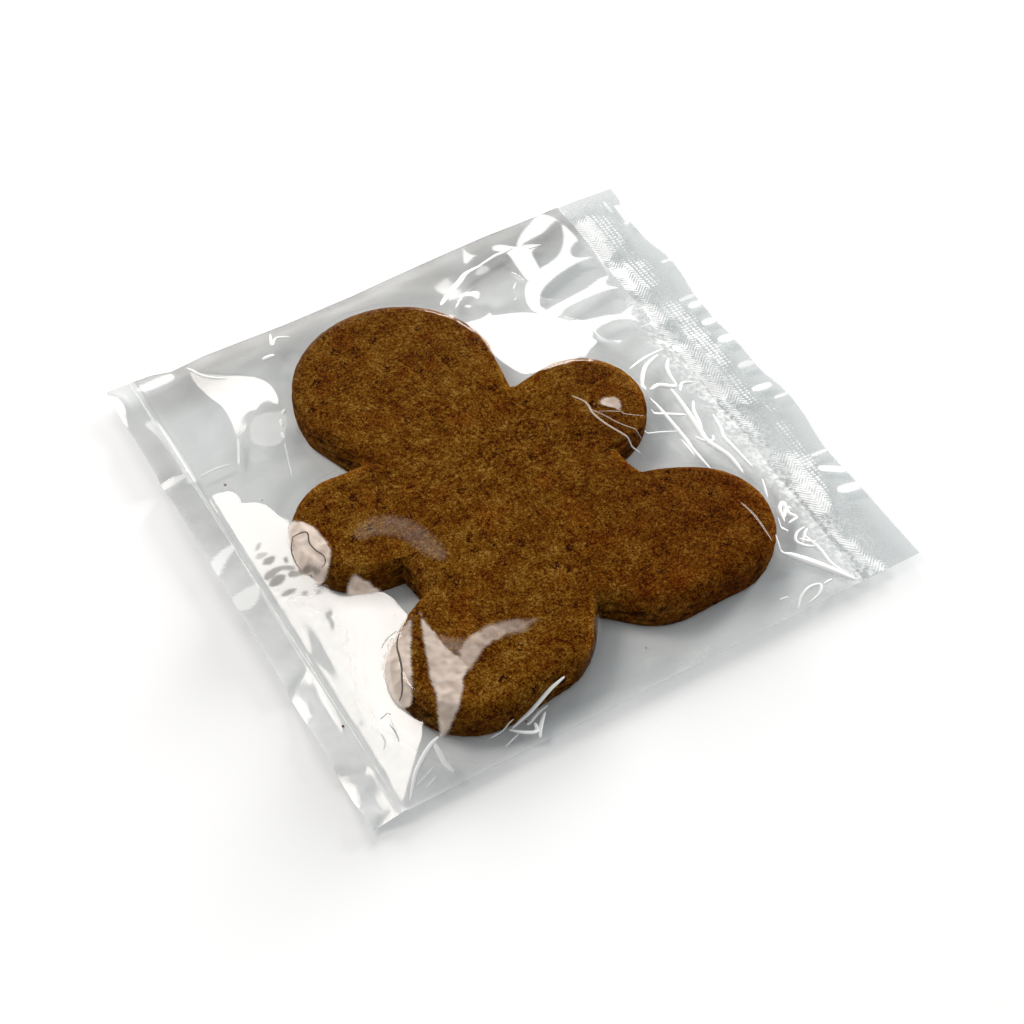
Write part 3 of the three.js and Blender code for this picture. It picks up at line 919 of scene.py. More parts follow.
def solveFilm(x, y, slopeX, slopeY, weight, hold, height, start, turns):
    # least squares for the height with the wanted slopes, held where hold is above 0 (conjugate gradients)
    stepX, stepY = np.diff(x)[:, None], np.diff(y)[None, :]
    cellX, cellY = np.gradient(x)[:, None], np.gradient(y)[None, :]
    weightX = 0.5 * (weight[1:] + weight[:-1]) * cellY / stepX
    weightY = 0.5 * (weight[:, 1:] + weight[:, :-1]) * cellX / stepY
    pinned = hold * cellX * cellY
    diagonal = pinned.copy()
    diagonal[1:] += weightX
    diagonal[:-1] += weightX
    diagonal[:, 1:] += weightY
    diagonal[:, :-1] += weightY

    def gathered(flowX, flowY):
        total = np.zeros(hold.shape)
        total[1:] += flowX
        total[:-1] -= flowX
        total[:, 1:] += flowY
        total[:, :-1] -= flowY
        return total

    def pull(film):
        return gathered(weightX * np.diff(film, axis=0), weightY * np.diff(film, axis=1)) + pinned * film

    wanted = gathered(weightX * stepX * 0.5 * (slopeX[1:] + slopeX[:-1]),
                      weightY * stepY * 0.5 * (slopeY[:, 1:] + slopeY[:, :-1])) + pinned * height
    solved = start.copy()
    rest = wanted - pull(solved)
    direction = rest / diagonal
    size = float((rest * direction).sum())
    for _ in range(turns):
        pulled = pull(direction)
        share = size / float((direction * pulled).sum())
        solved += share * direction
        rest -= share * pulled
        scaled = rest / diagonal
        newSize = float((rest * scaled).sum())
        direction = scaled + newSize / size * direction
        size = newSize
        if size < 1e-9:
            break
    return solved


def filmHeights(lineX, lineY, x, y):
    # the film rests on the cookie and the table, and is held at its seals and folds
    slopeX, slopeY, weight = filmTargets(x, y, film["fineStep"])
    below, beyond = cookieTop(x, y)
    floorHeight = np.where(beyond < 0, below + film["overRim"], film["overTable"])
    crown, seal = cookie["thickness"] + film["overCookie"], film["sealHeight"]
    plainX, plainY = np.meshgrid(lineX, lineY, indexing="ij")
    onTop = beyond < -film["topInset"]
    hold = np.where(onTop, film["hold"]["top"], 0.0)
    height = np.where(onTop, crown, seal)
    pastWeld = film["weldLine"] - plainX
    zones = {"hem": film["width"] / 2 - np.abs(plainY) < film["hem"], "weld": np.abs(pastWeld) < film["hem"],
             "skirt": pastWeld > film["hem"], "crimp": plainX > film["crimpLine"] - 0.3}
    for name, zone in zones.items():
        hold[zone], height[zone] = film["hold"][name], seal
    height = np.where(zones["crimp"], seal + crimpWave(x, y), height)
    solved = np.where(beyond < 0, crown, seal + (crown - seal) * np.exp(-beyond / film["firstFall"]))
    touching = np.zeros(x.shape, bool)
    for turns in film["turns"]:
        holdNow = np.where(touching, film["contact"], hold)
        heightNow = np.where(touching, floorHeight, height)
        solved = solveFilm(lineX, lineY, slopeX, slopeY, weight, holdNow, heightNow, solved, turns)
        touching = solved < floorHeight
    return np.maximum(solved, floorHeight)


def rimIndices(count, width, start):
    # a net's edge points in order round the bag
    near = [i * width for i in range(count)]
    right = [(count - 1) * width + j for j in range(1, width)]
    far = [i * width + width - 1 for i in range(count - 2, -1, -1)]
    left = list(range(width - 2, 0, -1))
    return [start + k for k in near + right + far + left]


def filmMesh(net):
    # top and bottom layer on one net, the bottom with every third line, closed round the edge
    lineX, lineY, top = net
    inFilm = lineX < film["crimpLine"] + 0.01
    lineX, top = lineX[inFilm], top[inFilm].copy()
    plainX, plainY = np.meshgrid(lineX, lineY, indexing="ij")
    x, y = askew(plainX, plainY)
    for ridge in film["weldRidges"]:
        top += film["weldRidge"] * np.exp(-((plainX - ridge) / film["weldRidgeWidth"]) ** 2)
    beyond = np.maximum(outlineDistance(x, y), 0)
    edge = np.minimum(plainX - film["weldLine"], film["crimpLine"] - plainX)
    edge = np.minimum(edge, film["width"] / 2 - np.abs(plainY))
    lift = rise(beyond / (beyond + np.maximum(edge, 0) + 1e-9), film["tentFrom"], 1) ** film["tentSag"]
    under = film["underside"] + (film["sealHeight"] + crimpWave(x, y) - film["underside"]) * lift
    gap = film["layerGap"] * np.clip(film["crimpLine"] - plainX, 0.25, 1)
    under = np.maximum(np.minimum(np.where(edge < 0, np.inf, under), top - gap), 0.02)
    top = np.maximum(top, under + gap)
    every = film["underEvery"]
    coarse = np.s_[::every, ::every]
    topPoints = np.stack([x, y, top], axis=-1).reshape(-1, 3)
    underPoints = np.stack([x[coarse], y[coarse], under[coarse]], axis=-1).reshape(-1, 3)
    (rows, columns), (coarseRows, coarseColumns) = x.shape, x[coarse].shape
    faces = gridFaces(rows, columns)[:, ::-1].tolist()
    faces += (gridFaces(coarseRows, coarseColumns) + rows * columns).tolist()
    # each long edge of the bottom layer meets a few short ones of the top layer
    fine = rimIndices(rows, columns, 0)
    wide = rimIndices(coarseRows, coarseColumns, rows * columns)
    for k in range(len(wide)):
        p, q = wide[k], wide[(k + 1) % len(wide)]
        for part in range(every):
            a, b = fine[every * k + part], fine[(every * k + part + 1) % len(fine)]
            faces.append((a, p if 2 * part < every - 1 else q, b))
            if 2 * part == every - 1:
                faces.append((a, p, q))
    thing = meshObject("bag_film", (np.vstack([topPoints, underPoints]) * mm).tolist(), faces)
    looks = {"hazeAndHighlight": filmHazeAndHighlights, "pinkReflection": filmPinkReflection, "paintedShade": filmShade, "dull": filmDull}
    spare = np.zeros(len(underPoints))
    paintPoints(thing, {name: np.concatenate([look(x, y).ravel(), spare]) for name, look in looks.items()})
    print("film has", len(faces), "faces and rises to", round(float(top.max()), 1), "mm")
    return thing


def seamFrost(x, y):
    # the jaws' print, with its frosting and painted sparkle, fades out into the film
    grain = film["frostGround"] + softNoise(x, y, *film["frostGrain"]) + softNoise(x, y, *film["frostLumps"])
    reach = rise(x, *film["frostX"]) * rise(x, *film["frostEndX"]) * rise(y, *film["frostY"])
    return film["frost"] * reach * np.clip(grain, 0, 1)


def filmHazeAndHighlights(x, y):
    # an uneven white bloom beside the cookie, partly the film's milkiness and partly painted light that
    # lifts the shaded film, stronger near the camera and the weld, with the soft painted light and the
    # painted highlights of the white patches
    bloom = 1 + softNoise(x + 0.4 * y, 2.2 * y - x, *film["bloomLumps"])
    bloom += softNoise(x, y, *film["bloomGrain"])
    bloom = bloom * np.interp(y, *film["bloomShare"])
    start, end = film["weldBloomX"]
    atWeld = np.clip((x - start) / (end - start), 0, film["weldBloomMost"])
    bloom += atWeld * np.interp(y, *film["weldBloomShare"])
    hazeAndHighlight = film["bloom"] * bloom * rise(outlineDistance(x, y), *film["bloomFrom"]) + seamFrost(x, y)
    for strength, soft, outline in paintedLightVeils.values():
        hazeAndHighlight = np.maximum(hazeAndHighlight, hazeAndHighlight * 0.5 + strength * insideOutline(x, y, outline, soft))
    for strength, outline in patches.values():
        hazeAndHighlight = np.maximum(hazeAndHighlight, strength * insideOutline(x, y, outline, film["outlineSoft"]))
    return hazeAndHighlight


def filmPinkReflection(x, y):
    # the pinkish painted reflections, streaked by the film's fine wrinkles
    pinkReflection = np.zeros(x.shape)
    x, y = x + softNoise(x, y, *film["blushBendX"]), y + softNoise(x, y, *film["blushBendY"])
    for strength, soft, outline in paintedPinkReflections.values():
        pinkReflection = np.maximum(pinkReflection, strength * insideOutline(x, y, outline, soft))
    streaked = softNoise(2 * x + y, 2 * y, *film["blushStreaks"])
    return np.clip(pinkReflection * (1 + softNoise(x, y, *film["blushGrain"]) + streaked), 0, 1)


def filmShade(x, y):
    # painted shade along the far fold, which has more layers, and a painted shadow over the skirt's far half
    shade = np.interp(y, *film["foldShade"]) * rise(x, *film["foldShadeX"])
    skirt = rise(x, *film["skirtShadeX"]) * rise(y, *film["skirtShadeY"])
    shade = np.maximum(shade, film["skirtShade"] * skirt)
    shade = shade * (1 + softNoise(x, 2 * y, *film["shadeLumps"]))
    for strength, outline in patches.values():
        shade = shade * (1 - insideOutline(x, y, outline, film["outlineSoft"]))
    # small painted dark lens shapes in the white facets, where the film mirrors the dark side
    for strength, outline in lensShapes:
        shade = np.maximum(shade, strength * insideOutline(x, y, outline, film["lensSoft"]))
    return shade


def filmDull(x, y):
    # no shine where the film falls steeply beside the cookie, except in the facets
    beyond = outlineDistance(x, y)
    dull = rise(beyond, *film["dullFrom"]) * rise(beyond, *film["dullEnd"])
    dull = dull * (1 - rise(x, *film["shinyLegX"]) * rise(y, *film["shinyLegY"]))
    for box, outline in facets.values():
        dull = dull * (1 - insideOutline(x, y, outline, film["outlineSoft"]))
    for outline in dullPlaces:
        dull = np.maximum(dull, insideOutline(x, y, outline, film["dullSoft"]))
    return dull


filmFinish = {
    "tint": (0.965, 0.975, 0.975, 1),
    "crimpedTint": (0.915, 0.93, 0.93, 1),
    "roughness": 0.11,
    "gloss": (0.061, 0.4),   # seen squarely and edge-on
    "edgeWhite": 0.6,
    "hazeAndHighlight": (0.95, 0.955, 0.945, 1),
    "pinkReflection": (0.93, 0.79, 0.68, 1),
    "paintedShade": (0.11, 0.095, 0.08, 1),
}


def filmMaterial(name, tint):
    material, tree = newMaterial(name)
    count = mathIn(tree)

    def painted(field):
        return addNode(tree, "ShaderNodeAttribute", attribute_name=field).outputs["Fac"]

    facing = addNode(tree, "ShaderNodeLayerWeight", {"Blend": 0.5}).outputs["Facing"]
    shiny = count("SUBTRACT", 1.0, painted("dull"))
    steep = count("MULTIPLY", count("POWER", facing, 5.0), shiny)
    share = count("MULTIPLY", ranged(tree, steep, 0, 1, *filmFinish["gloss"]), shiny)
    clear = addNode(tree, "ShaderNodeBsdfTransparent", {"Color": filmFinish[tint]})
    gloss = {"Roughness": filmFinish["roughness"], "Color": (1, 1, 1, 1)}
    gloss = addNode(tree, "ShaderNodeBsdfGlossy", gloss)
    look = addNode(tree, "ShaderNodeMixShader", {0: share, 1: clear, 2: gloss})
    # where the film is seen edge-on it gets a painted white sheen, as white as where it is hazy
    hazy = count("MULTIPLY_ADD", steep, filmFinish["edgeWhite"], painted("hazeAndHighlight"), clamp=True)
    # matt layers over the film: the white haze with the painted highlights, the pinkish painted reflections
    # and the painted shade
    for field, cover in (("hazeAndHighlight", hazy), ("pinkReflection", painted("pinkReflection")), ("paintedShade", painted("paintedShade"))):
        matt = addNode(tree, "ShaderNodeBsdfDiffuse", {"Color": filmFinish[field]})
        look = addNode(tree, "ShaderNodeMixShader", {0: cover, 1: look, 2: matt})
    addNode(tree, "ShaderNodeOutputMaterial", {"Surface": look})
    return material


def makeFilm(material):
    lineX, lineY = filmLines()
    x, y = askew(*np.meshgrid(lineX, lineY, indexing="ij"))
    net = lineX, lineY, filmHeights(lineX, lineY, x, y)
    thing = filmMesh(net)
    thing.data.set_sharp_from_angle(angle=film["sharpAngle"])
    thing.data.materials.append(material)
    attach(thing, "root")
    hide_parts("sealed_bag")
    return net


filmLook = filmMaterial("clearFilm", "tint")
filmNet = makeFilm(filmLook)
print("film laid over")

# Sharp creases in the film: full width, whiteness as a painted highlight (below 0 is darkness, as painted
# shade) and the points on the line.
creases = {
    "farCrease": (1.5, 0.9, [
        (11.6, 52.1), (14.6, 54.9), (17.8, 57.4), (21.1, 59.7), (24.2, 61.8), (29.5, 62.8)]),
    "farCreaseEnd": (1.1, 0.9, [(28, 62.7), (33.5, 63.9), (36.5, 64), (39.5, 64.6)]),
    "farDash": (0.6, 0.8, [(42.4, 62), (46, 61.7)]),
    "farTick": (0.8, 0.8, [(-27.7, 67.9), (-29.8, 62.4), (-27.6, 64.7), (-24.8, 62.7)]),
    "headSpikeLow": (0.9, 0.85, [(-49.5, 40.7), (-51, 37.2), (-52.9, 33.5)]),
    "headSpikeFar": (0.7, 0.85, [(-50.4, 67.8), (-48.1, 62.3), (-44.3, 57.8)]),
    "sideLine": (0.7, 0.5, [(-62.8, 34.5), (-58.3, 34.8), (-54.8, 34.4)]),
    "headDash": (1.0, 0.85, [(-36.5, 41.6), (-37.8, 40.5)]),
    "headDashMiddle": (0.9, 0.85, [(-38.8, 39.4), (-39.5, 37)]),
    "headDashLow": (0.8, 0.85, [(-40.5, 35.6), (-40.7, 33.4)]),
    "headThread": (0.35, 0.5, [(-41.3, 32.3), (-42.8, 27.6), (-44.9, 21)]),
    "headGlint": (1.3, 0.9, [(-34.3, 58.4), (-31.2, 58)]),
    "ridgeEnd": (1.1, 0.92, [
        (-50.6, -59.9), (-52.2, -60.3), (-54.4, -61.3), (-57.3, -63.2), (-59.5, -65.2), (-62.6, -69)]),
    "nearStroke": (1.5, 0.9, [(-52, -60.6), (-52, -63), (-51.9, -65.3), (-51.2, -67.6)]),
    "armOvalLine": (0.36, -0.85, [
        (-55.5, -4.3), (-55.4, -3.5), (-55.4, -1.6), (-55.1, 0.5), (-54.4, 2.4), (-53.5, 3), (-52.1, 2.7),
        (-50.7, 2.2), (-50.5, 1.2), (-51.3, -1), (-51.1, -3.5), (-50.3, -5.6), (-50.4, -7.1), (-51.2, -8.2),
        (-52.1, -8.4)]),
    "legStripLine": (0.5, -0.85, [
        (-45.7, -33.5), (-46.9, -34.7), (-48, -36.7), (-48.7, -39), (-49.6, -41.6), (-50.7, -43.8),
        (-51.7, -45.9), (-52.6, -47.1), (-53.6, -47.8)]),
    "legCrackle": (0.35, -0.3, [(-58.7, -48.5), (-56.8, -48.3), (-56.5, -49.1)]),
    "legCrackleTwin": (0.35, -0.3, [(-57.7, -50.9), (-57.6, -52.9), (-57.7, -54.6), (-58.1, -55.7)]),
    "legCrackleLow": (0.35, -0.25, [(-60.1, -51.4), (-60.3, -53.7), (-61.5, -55.2)]),
    "legGap": (0.4, -0.3, [(-50.6, -34), (-49.1, -33), (-47.6, -32.6), (-45.9, -32.6)]),
    "nearHair": (0.4, 0.6, [(-59.6, -66.6), (-56.7, -65.6), (-54.4, -64.7)]),
    "nearHairTwin": (0.4, 0.6, [(-57.9, -67.9), (-55, -66.7)]),
    "nearArc": (1.0, 0.92, [
        (-20.1, -61, 8.1), (-22, -61.2, 7.4), (-23.8, -61.4, 6.7), (-25.9, -62, 6), (-28.1, -62.7, 5.3),
        (-30.3, -63.3, 4.6), (-32.7, -63.7, 3.9), (-35.1, -64.2, 3.2)]),
    "nearArcTwin": (0.8, 0.85, [
        (-25.2, -62.7, 3.1), (-27.2, -63, 3), (-29, -63.7, 3), (-30.6, -64.5, 2.9), (-31.7, -64.7, 2.8)]),
    "nearTick": (0.9, 0.9, [
        (-35.8, -64, 3.2), (-34.3, -65.3, 3), (-32.8, -66.4, 2.9), (-31.2, -67.1, 2.7), (-29.9, -67, 2.5),
        (-28.8, -66.6, 2.4)]),
    "nearTickEnd": (0.9, 0.9, [
        (-26.5, -63.7, 2.8), (-28, -65.1, 2.7), (-29.4, -66.7, 2.5), (-30.7, -68.7, 2.3)]),
    "nearTickTwin": (0.8, 0.9, [(-29.9, -64.9, 2.7), (-30.2, -66.5, 2.6), (-31.3, -67.2, 2.5)]),
    "nearFan": (0.4, 0.6, [(-34.2, -63.4), (-40.5, -64.3)]),
    "nearFanTwin": (0.4, 0.5, [(-33.2, -65.4), (-38.5, -67.3)]),
    "nearLoop": (0.7, 0.8, [
        (37, -67.3), (39.4, -65.1), (42.4, -63.8), (45.1, -64.3), (43.5, -66.3), (40, -67.3)]),
    "nearDash": (0.6, 0.8, [(45.8, -64.6), (48.4, -64.3)]),
    "nearDashTwin": (0.5, 0.7, [(34.6, -63.5), (36.8, -63.7)]),
    "armLine": (0.5, 0.3, [
        (22.6, 7.7), (24.2, 5.1), (24.5, 3.1), (24.2, 0.5), (25.1, -3.7), (26.7, -7.7), (28.3, -11.8),
        (28.9, -13.5)]),
    "armSecondLine": (0.32, 0.22, [(24, 2.5), (26, -1), (28.1, -5.4), (31.5, -9.9)]),
    "armSecondEnd": (0.5, 0.7, [(33, -8.4), (37, -9.4), (41.6, -11)]),
    "armDash": (0.28, 0.22, [(25.5, 0.5), (30.1, -2.2), (30.7, -3.4), (34.6, -6.2)]),
    "webFirst": (1.0, 0.85, [(40.7, 1.4), (41.2, -2.6), (41.3, -12.5), (41, -17.4), (41.3, -25)]),
    "webFirstTwin": (0.6, 0.7, [(40.2, -13.3), (40.2, -19.3)]),
    "webSecond": (1.4, 0.9, [
        (47.3, 2.4), (47.1, -3.6), (46.1, -12.6), (45.8, -16.6), (47.8, -22.6), (47.8, -28.6)]),
    "webThird": (0.9, 0.85, [(50.3, -3.2), (48.5, -6.2), (47.5, -10.2), (46, -13.7)]),
    "webKnot": (0.8, 0.8, [(43.9, -13.9), (45.1, -15.9), (47.1, -16.6), (48.1, -15.1)]),
    "webFifth": (1.0, 0.85, [(52.2, -8.9), (51.2, -13.9), (50.2, -16.9), (50.5, -21.9), (51, -27.9)]),
    "webCross": (1.0, 0.8, [(38.2, -3.1), (46.1, -6.9)]),
    "webLoop": (1.1, 0.85, [(40.4, 2.9), (41.8, 6.6), (45.6, 11.1), (51, 13.8)]),
    "webLoopTwin": (0.8, 0.8, [(41.4, 11.7), (46.8, 13.7), (53.2, 15.1)]),
    "webHorn": (1.5, 0.9, [(42.4, 3.7), (45.1, 4.4), (47.8, 2.9), (49.4, 2.6)]),
    "webStem": (1.0, 0.85, [(49.4, 2.6), (49.5, 5.8), (50.5, 9), (52.7, 11.6)]),
    "webTick": (0.9, 0.85, [(48.9, 0.6), (51, 2.8), (53.7, 2.1)]),
    "legLine": (0.45, 0.25, [(39.3, -39.7), (39.9, -44.6), (39.4, -52.3)]),
    "legLineEnd": (0.8, 0.85, [(41.2, -51.2), (42.4, -53), (43.8, -55)]),
    "legSweep": (2.0, 0.9, [(42.6, -53.4), (44.3, -55), (46.8, -58), (49.8, -62), (52.8, -66.8)]),
    "legStem": (0.9, 0.85, [(49.8, -50.5), (50.8, -55.3), (50.8, -60.2), (52, -64.2)]),
    "legLoop": (0.8, 0.85, [(51.6, -48.7), (48.7, -49.6), (47.2, -51.6), (48.8, -53.8), (50.8, -54.8)]),
    "legLoopIn": (0.7, 0.85, [(48.2, -51.2), (50, -52.8), (51.4, -53.6)]),
    "legLoopBar": (0.7, 0.8, [(48.4, -52.6), (50.2, -50.6), (51.8, -49.4)]),
    "legDash": (0.9, 0.85, [(45.4, -46), (47.2, -48.4)]),
    "legKnot": (1.2, 0.85, [
        (48, -45.6), (49.1, -42), (51.1, -40.4), (50.4, -43.6), (51.3, -45.5), (48.6, -46.3)]),
    "legKnotIn": (1.1, 0.85, [(48.4, -44.6), (50.6, -42.4), (52, -42.6)]),
    "legBits": (0.6, 0.7, [(48.6, -37.6), (49.8, -34.9), (51, -31.8)]),
    "weldBand": (1.0, 0.3, [(-64.6, -69), (-64.6, 0), (-64.6, 69)]),
}

creaseForm = {"Sides": 8, "Flatness": 0.35}
beadLift = 0.02        # a crease's middle above the film
pinkAbove = 7          # creases higher than this lie over the cookie


def creaseTree(material):
    # a flattened bead along every line, as wide as the line's own half width
    tree, given = newTree("filmCreases", creaseForm)
    line = addNode(tree, "GeometryNodeMeshToCurve", {"Mesh": given["Geometry"]})
    upright = addNode(tree, "GeometryNodeSetCurveNormal", {"Curve": line})
    upright.mode = "Z_UP"
    ring = addNode(tree, "GeometryNodeCurvePrimitiveCircle", {"Resolution": given["Sides"], "Radius": 1.0})
    squeeze = addNode(tree, "ShaderNodeCombineXYZ", {"X": 1.0, "Y": given["Flatness"], "Z": 1.0})
    flat = addNode(tree, "GeometryNodeTransform", {"Geometry": ring, "Scale": squeeze})
    bead = addNode(tree, "GeometryNodeCurveToMesh", {
        "Curve": upright, "Profile Curve": flat, "Scale": pointField(tree, "halfWidth"), "Fill Caps": True})
    return endTree(tree, bead, material)


def makeCreases(net, material):
    points, edges, halfWidths, white = [], [], [], []
    for width, whiteness, places in creases.values():
        curve = rounded(places, False, 8)
        share = np.linspace(0, 1, len(curve))
        # a fold that stands up from the film has its own heights
        height = curve[:, 2] if curve.shape[1] == 3 else overNet(net, curve[:, 0], curve[:, 1]) + beadLift
        edges += [(len(points) + i, len(points) + i + 1) for i in range(len(curve) - 1)]
        points += np.column_stack([curve[:, :2], height]).tolist()
        halfWidths += (0.5 * width * np.clip(4 * share * (1 - share), 0.01, 1) ** 0.4 * mm).tolist()
        white += [whiteness] * len(curve)
    points, white = np.array(points), np.array(white)
    thing = meshObject("film_creases", (points * mm).tolist(), edges=edges)
    # their painted highlights are pinkish over the cookie, and below 0 they are painted shade
    over = rise(-outlineDistance(points[:, 0], points[:, 1]), 0, 1.5) * (points[:, 2] > pinkAbove)
    paintPoints(thing, {"halfWidth": halfWidths, "hazeAndHighlight": np.maximum(white, 0) * (1 - over),
                        "pinkReflection": np.maximum(white, 0) * over, "paintedShade": np.maximum(-white, 0)})
    runTree(thing, creaseTree(material), creaseForm)
    thing.data.shade_smooth()
    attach(thing, "root")
    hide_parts("sealed_bag")


makeCreases(filmNet, filmLook)
print("film creased")

crimp = {
    "stepX": 0.2, "stepY": 0.115,
    "outerFrom": 67.4, "outerStep": 0.45,
    "thickness": 0.16,
    "underRows": 9,
    "faintPress": 0.26,
    "pressSoft": 3.0,
    "wander": (0.9, 2.1, 12),   # of the pressed zones' edges: strength, size of the lumps and seed
    "glintSoft": 0.4,
    "thinTo": 1.5,         # the band starts thinner over this way
    # the cut edge from the near corner to the far one: place along it and how far out it lies
    "cutEdge": ((-70, 70), (-30, 69.6), (-24, 70.3), (-19, 71), (-14, 71.7), (-10, 71.8), (-6, 71.3),
                (-3, 70.5), (0, 70.2), (28, 70.2), (31, 70.5), (36, 71.3), (40, 71.8), (40.8, 70.6),
                (41.6, 71.6), (43, 71.8), (45, 71.5), (48, 71), (51, 70.3), (57, 70), (63, 69.8), (65, 71.6),
                (68, 72.2), (71, 72.4)),
}

# Zones where the jaws pressed harder: strength, full width and the points on the zone's middle line.
presses = [
    (1.0, 6.0, [(59, 61), (58.5, 55), (58.5, 51)]), (0.7, 9.0, [(62, 60), (62, 54)]),
    (0.6, 5.0, [(58.5, 50), (58, 44)]), (1.0, 5.0, [(58.5, 43), (58.5, 38)]),
    (0.65, 8.0, [(62.5, 43), (62, 38)]), (0.55, 4.5, [(58.5, 36), (58, 31)]),
    (0.95, 4.0, [(57.5, 30), (57.5, 24)]), (0.8, 5.0, [(63.5, 27), (63.5, 5)]),
    (0.5, 9.0, [(59, 8), (60, 2)]), (1.0, 4.0, [(55.5, 2), (57, -1), (57.5, -4)]),
    (0.6, 6.0, [(62, -2), (62, -8)]), (0.5, 2.5, [(64, -10), (65.5, -15)]),
    (0.7, 3.2, [(64, -20), (64.5, -29)]), (0.5, 5.0, [(56, -21), (58, -30)]),
    (0.95, 4.0, [(56.8, 13), (56.3, 5)]), (0.6, 3.5, [(56.8, 22), (56.2, 12), (56.8, 4)]),
    (0.6, 3.0, [(57, -6), (57.5, -20)]), (0.9, 7.0, [(62, -31), (58, -44)]),
    (0.85, 3.2, [(54.5, -48), (60, -68)]),
]

# Painted white glints on the clear edge beyond the print, and at its seams: whiteness, full width and
# points.
glints = [
    (0.9, 1.5, [(69.9, 64.2), (69.9, 61), (69.5, 57.4)]), (0.9, 1.2, [(68.7, 57.4), (70, 57.8)]),
    (0.45, 0.7, [(68.1, 67.5), (67.7, 62)]), (0.85, 0.8, [(69.3, 41), (71.8, 40.9)]),
    (0.85, 1.1, [(65.7, 27.3), (70.4, 27.3)]), (0.85, 2.2, [(67.2, 24.5), (70.2, 24.4)]),
    (0.85, 2.2, [(67.2, 18.1), (70.2, 17.9)]), (0.9, 2.6, [(67.2, 10.6), (70.3, 10.2)]),
    (0.9, 1.7, [(66.4, 1), (68, 0.9), (70, 0.5)]), (0.9, 2.0, [(65.5, -6.6), (68, -7), (69.7, -7.2)]),
    (0.8, 0.8, [(68.2, -11.6), (72, -12)]), (0.85, 1.0, [(65.3, -31.3), (69.8, -31.6)]),
    (0.85, 2.0, [(64.6, -35.2), (70.2, -39.2)]), (0.85, 2.5, [(64.7, -43.4), (70.2, -44.6)]),
]

ribs = {
    "Pitch": 0.95,
    "Depth": 0.036,
    "Lean": 1.0,           # how steeply a herringbone's lines run
    "Whiteness": 0.85,
    "Patch Size": 1.25,     # of the unevenness in the print
    "Column": 2.45,        # width of one herringbone column
    "Dot Pitch": 1.15,
    "Zone Start": 55.8,
    "Zone Middle": 61.6,
    "Zone End": 67.2,
}


def ribTree(material):
    # a herringbone next to the film and a net of dots beyond it, pressed up out of the band
    tree, given = newTree("crimpRibs", ribs)
    count = mathIn(tree)
    position = addNode(tree, "GeometryNodeInputPosition")
    axes = addNode(tree, "ShaderNodeSeparateXYZ", {0: position}).outputs
    x, y = count("DIVIDE", axes["X"], mm), count("DIVIDE", axes["Y"], mm)

    def between(low, high):
        return count("MULTIPLY", count("GREATER_THAN", x, given[low]), count("LESS_THAN", x, given[high]))

    def saw(place, reach):
        # from -1 to 1 and back in straight lines
        return count("MULTIPLY_ADD", count("DIVIDE", count("PINGPONG", place, reach), reach), 2.0, -1.0)

    def centred(field):
        return count("MULTIPLY_ADD", field, 2.0, -1.0)

    zigzag = count("PINGPONG", count("SUBTRACT", x, given["Zone Start"]), given["Column"])
    zigzag = count("MULTIPLY", zigzag, given["Lean"])
    half = count("MULTIPLY", given["Pitch"], 0.5)
    chevrons = count("MULTIPLY", saw(count("ADD", y, zigzag), half), between("Zone Start", "Zone Middle"))
    dots = count("MINIMUM", saw(y, half), saw(x, count("MULTIPLY", given["Dot Pitch"], 0.5)))
    pattern = count("ADD", chevrons, count("MULTIPLY", dots, between("Zone Middle", "Zone End")))
    press = pointField(tree, "press")
    height = count("MULTIPLY", count("MULTIPLY", count("MULTIPLY", pattern, given["Depth"]), press), mm)
    shift = addNode(tree, "ShaderNodeCombineXYZ", {"Z": height})
    moved = addNode(tree, "GeometryNodeSetPosition", {"Geometry": given["Geometry"], "Offset": shift})
    # the harder the jaws pressed, the wider the white lines, partly the print's frosting and partly painted
    # sparkle of its ribs
    patch = count("DIVIDE", 1 / mm, given["Patch Size"])
    patchy = addNode(tree, "ShaderNodeTexNoise", {"Vector": position, "Scale": patch, "Detail": 1.0})
    cover = count("ADD", count("ADD", pattern, centred(press)), centred(patchy))
    white = count("MINIMUM", count("MULTIPLY", press, 1.6), 1.0)
    white = count("MULTIPLY", ranged(tree, cover, -0.1, 0.5), white)
    white = count("MULTIPLY", white, given["Whiteness"])
    white = count("MULTIPLY", white, between("Zone Start", "Zone End"))
    white = count("MAXIMUM", white, pointField(tree, "glint"))
    return endTree(tree, keepField(tree, moved, "hazeAndHighlight", white), material)


def pressedAt(x, y):
    # how hard the jaws pressed, from a faint print to 1
    press = np.full(x.shape, crimp["faintPress"])
    wander = softNoise(x, y, *crimp["wander"])
    for strength, width, points in presses:
        curve = rounded(points, False)
        distance = np.min([segmentDistance(x, y, a, b)[0] for a, b in zip(curve, curve[1:])], axis=0)
        distance = distance + wander
        reach = width / 2 + crimp["pressSoft"] / 2
        press = np.maximum(press, strength * np.clip((reach - distance) / crimp["pressSoft"], 0, 1))
    return press


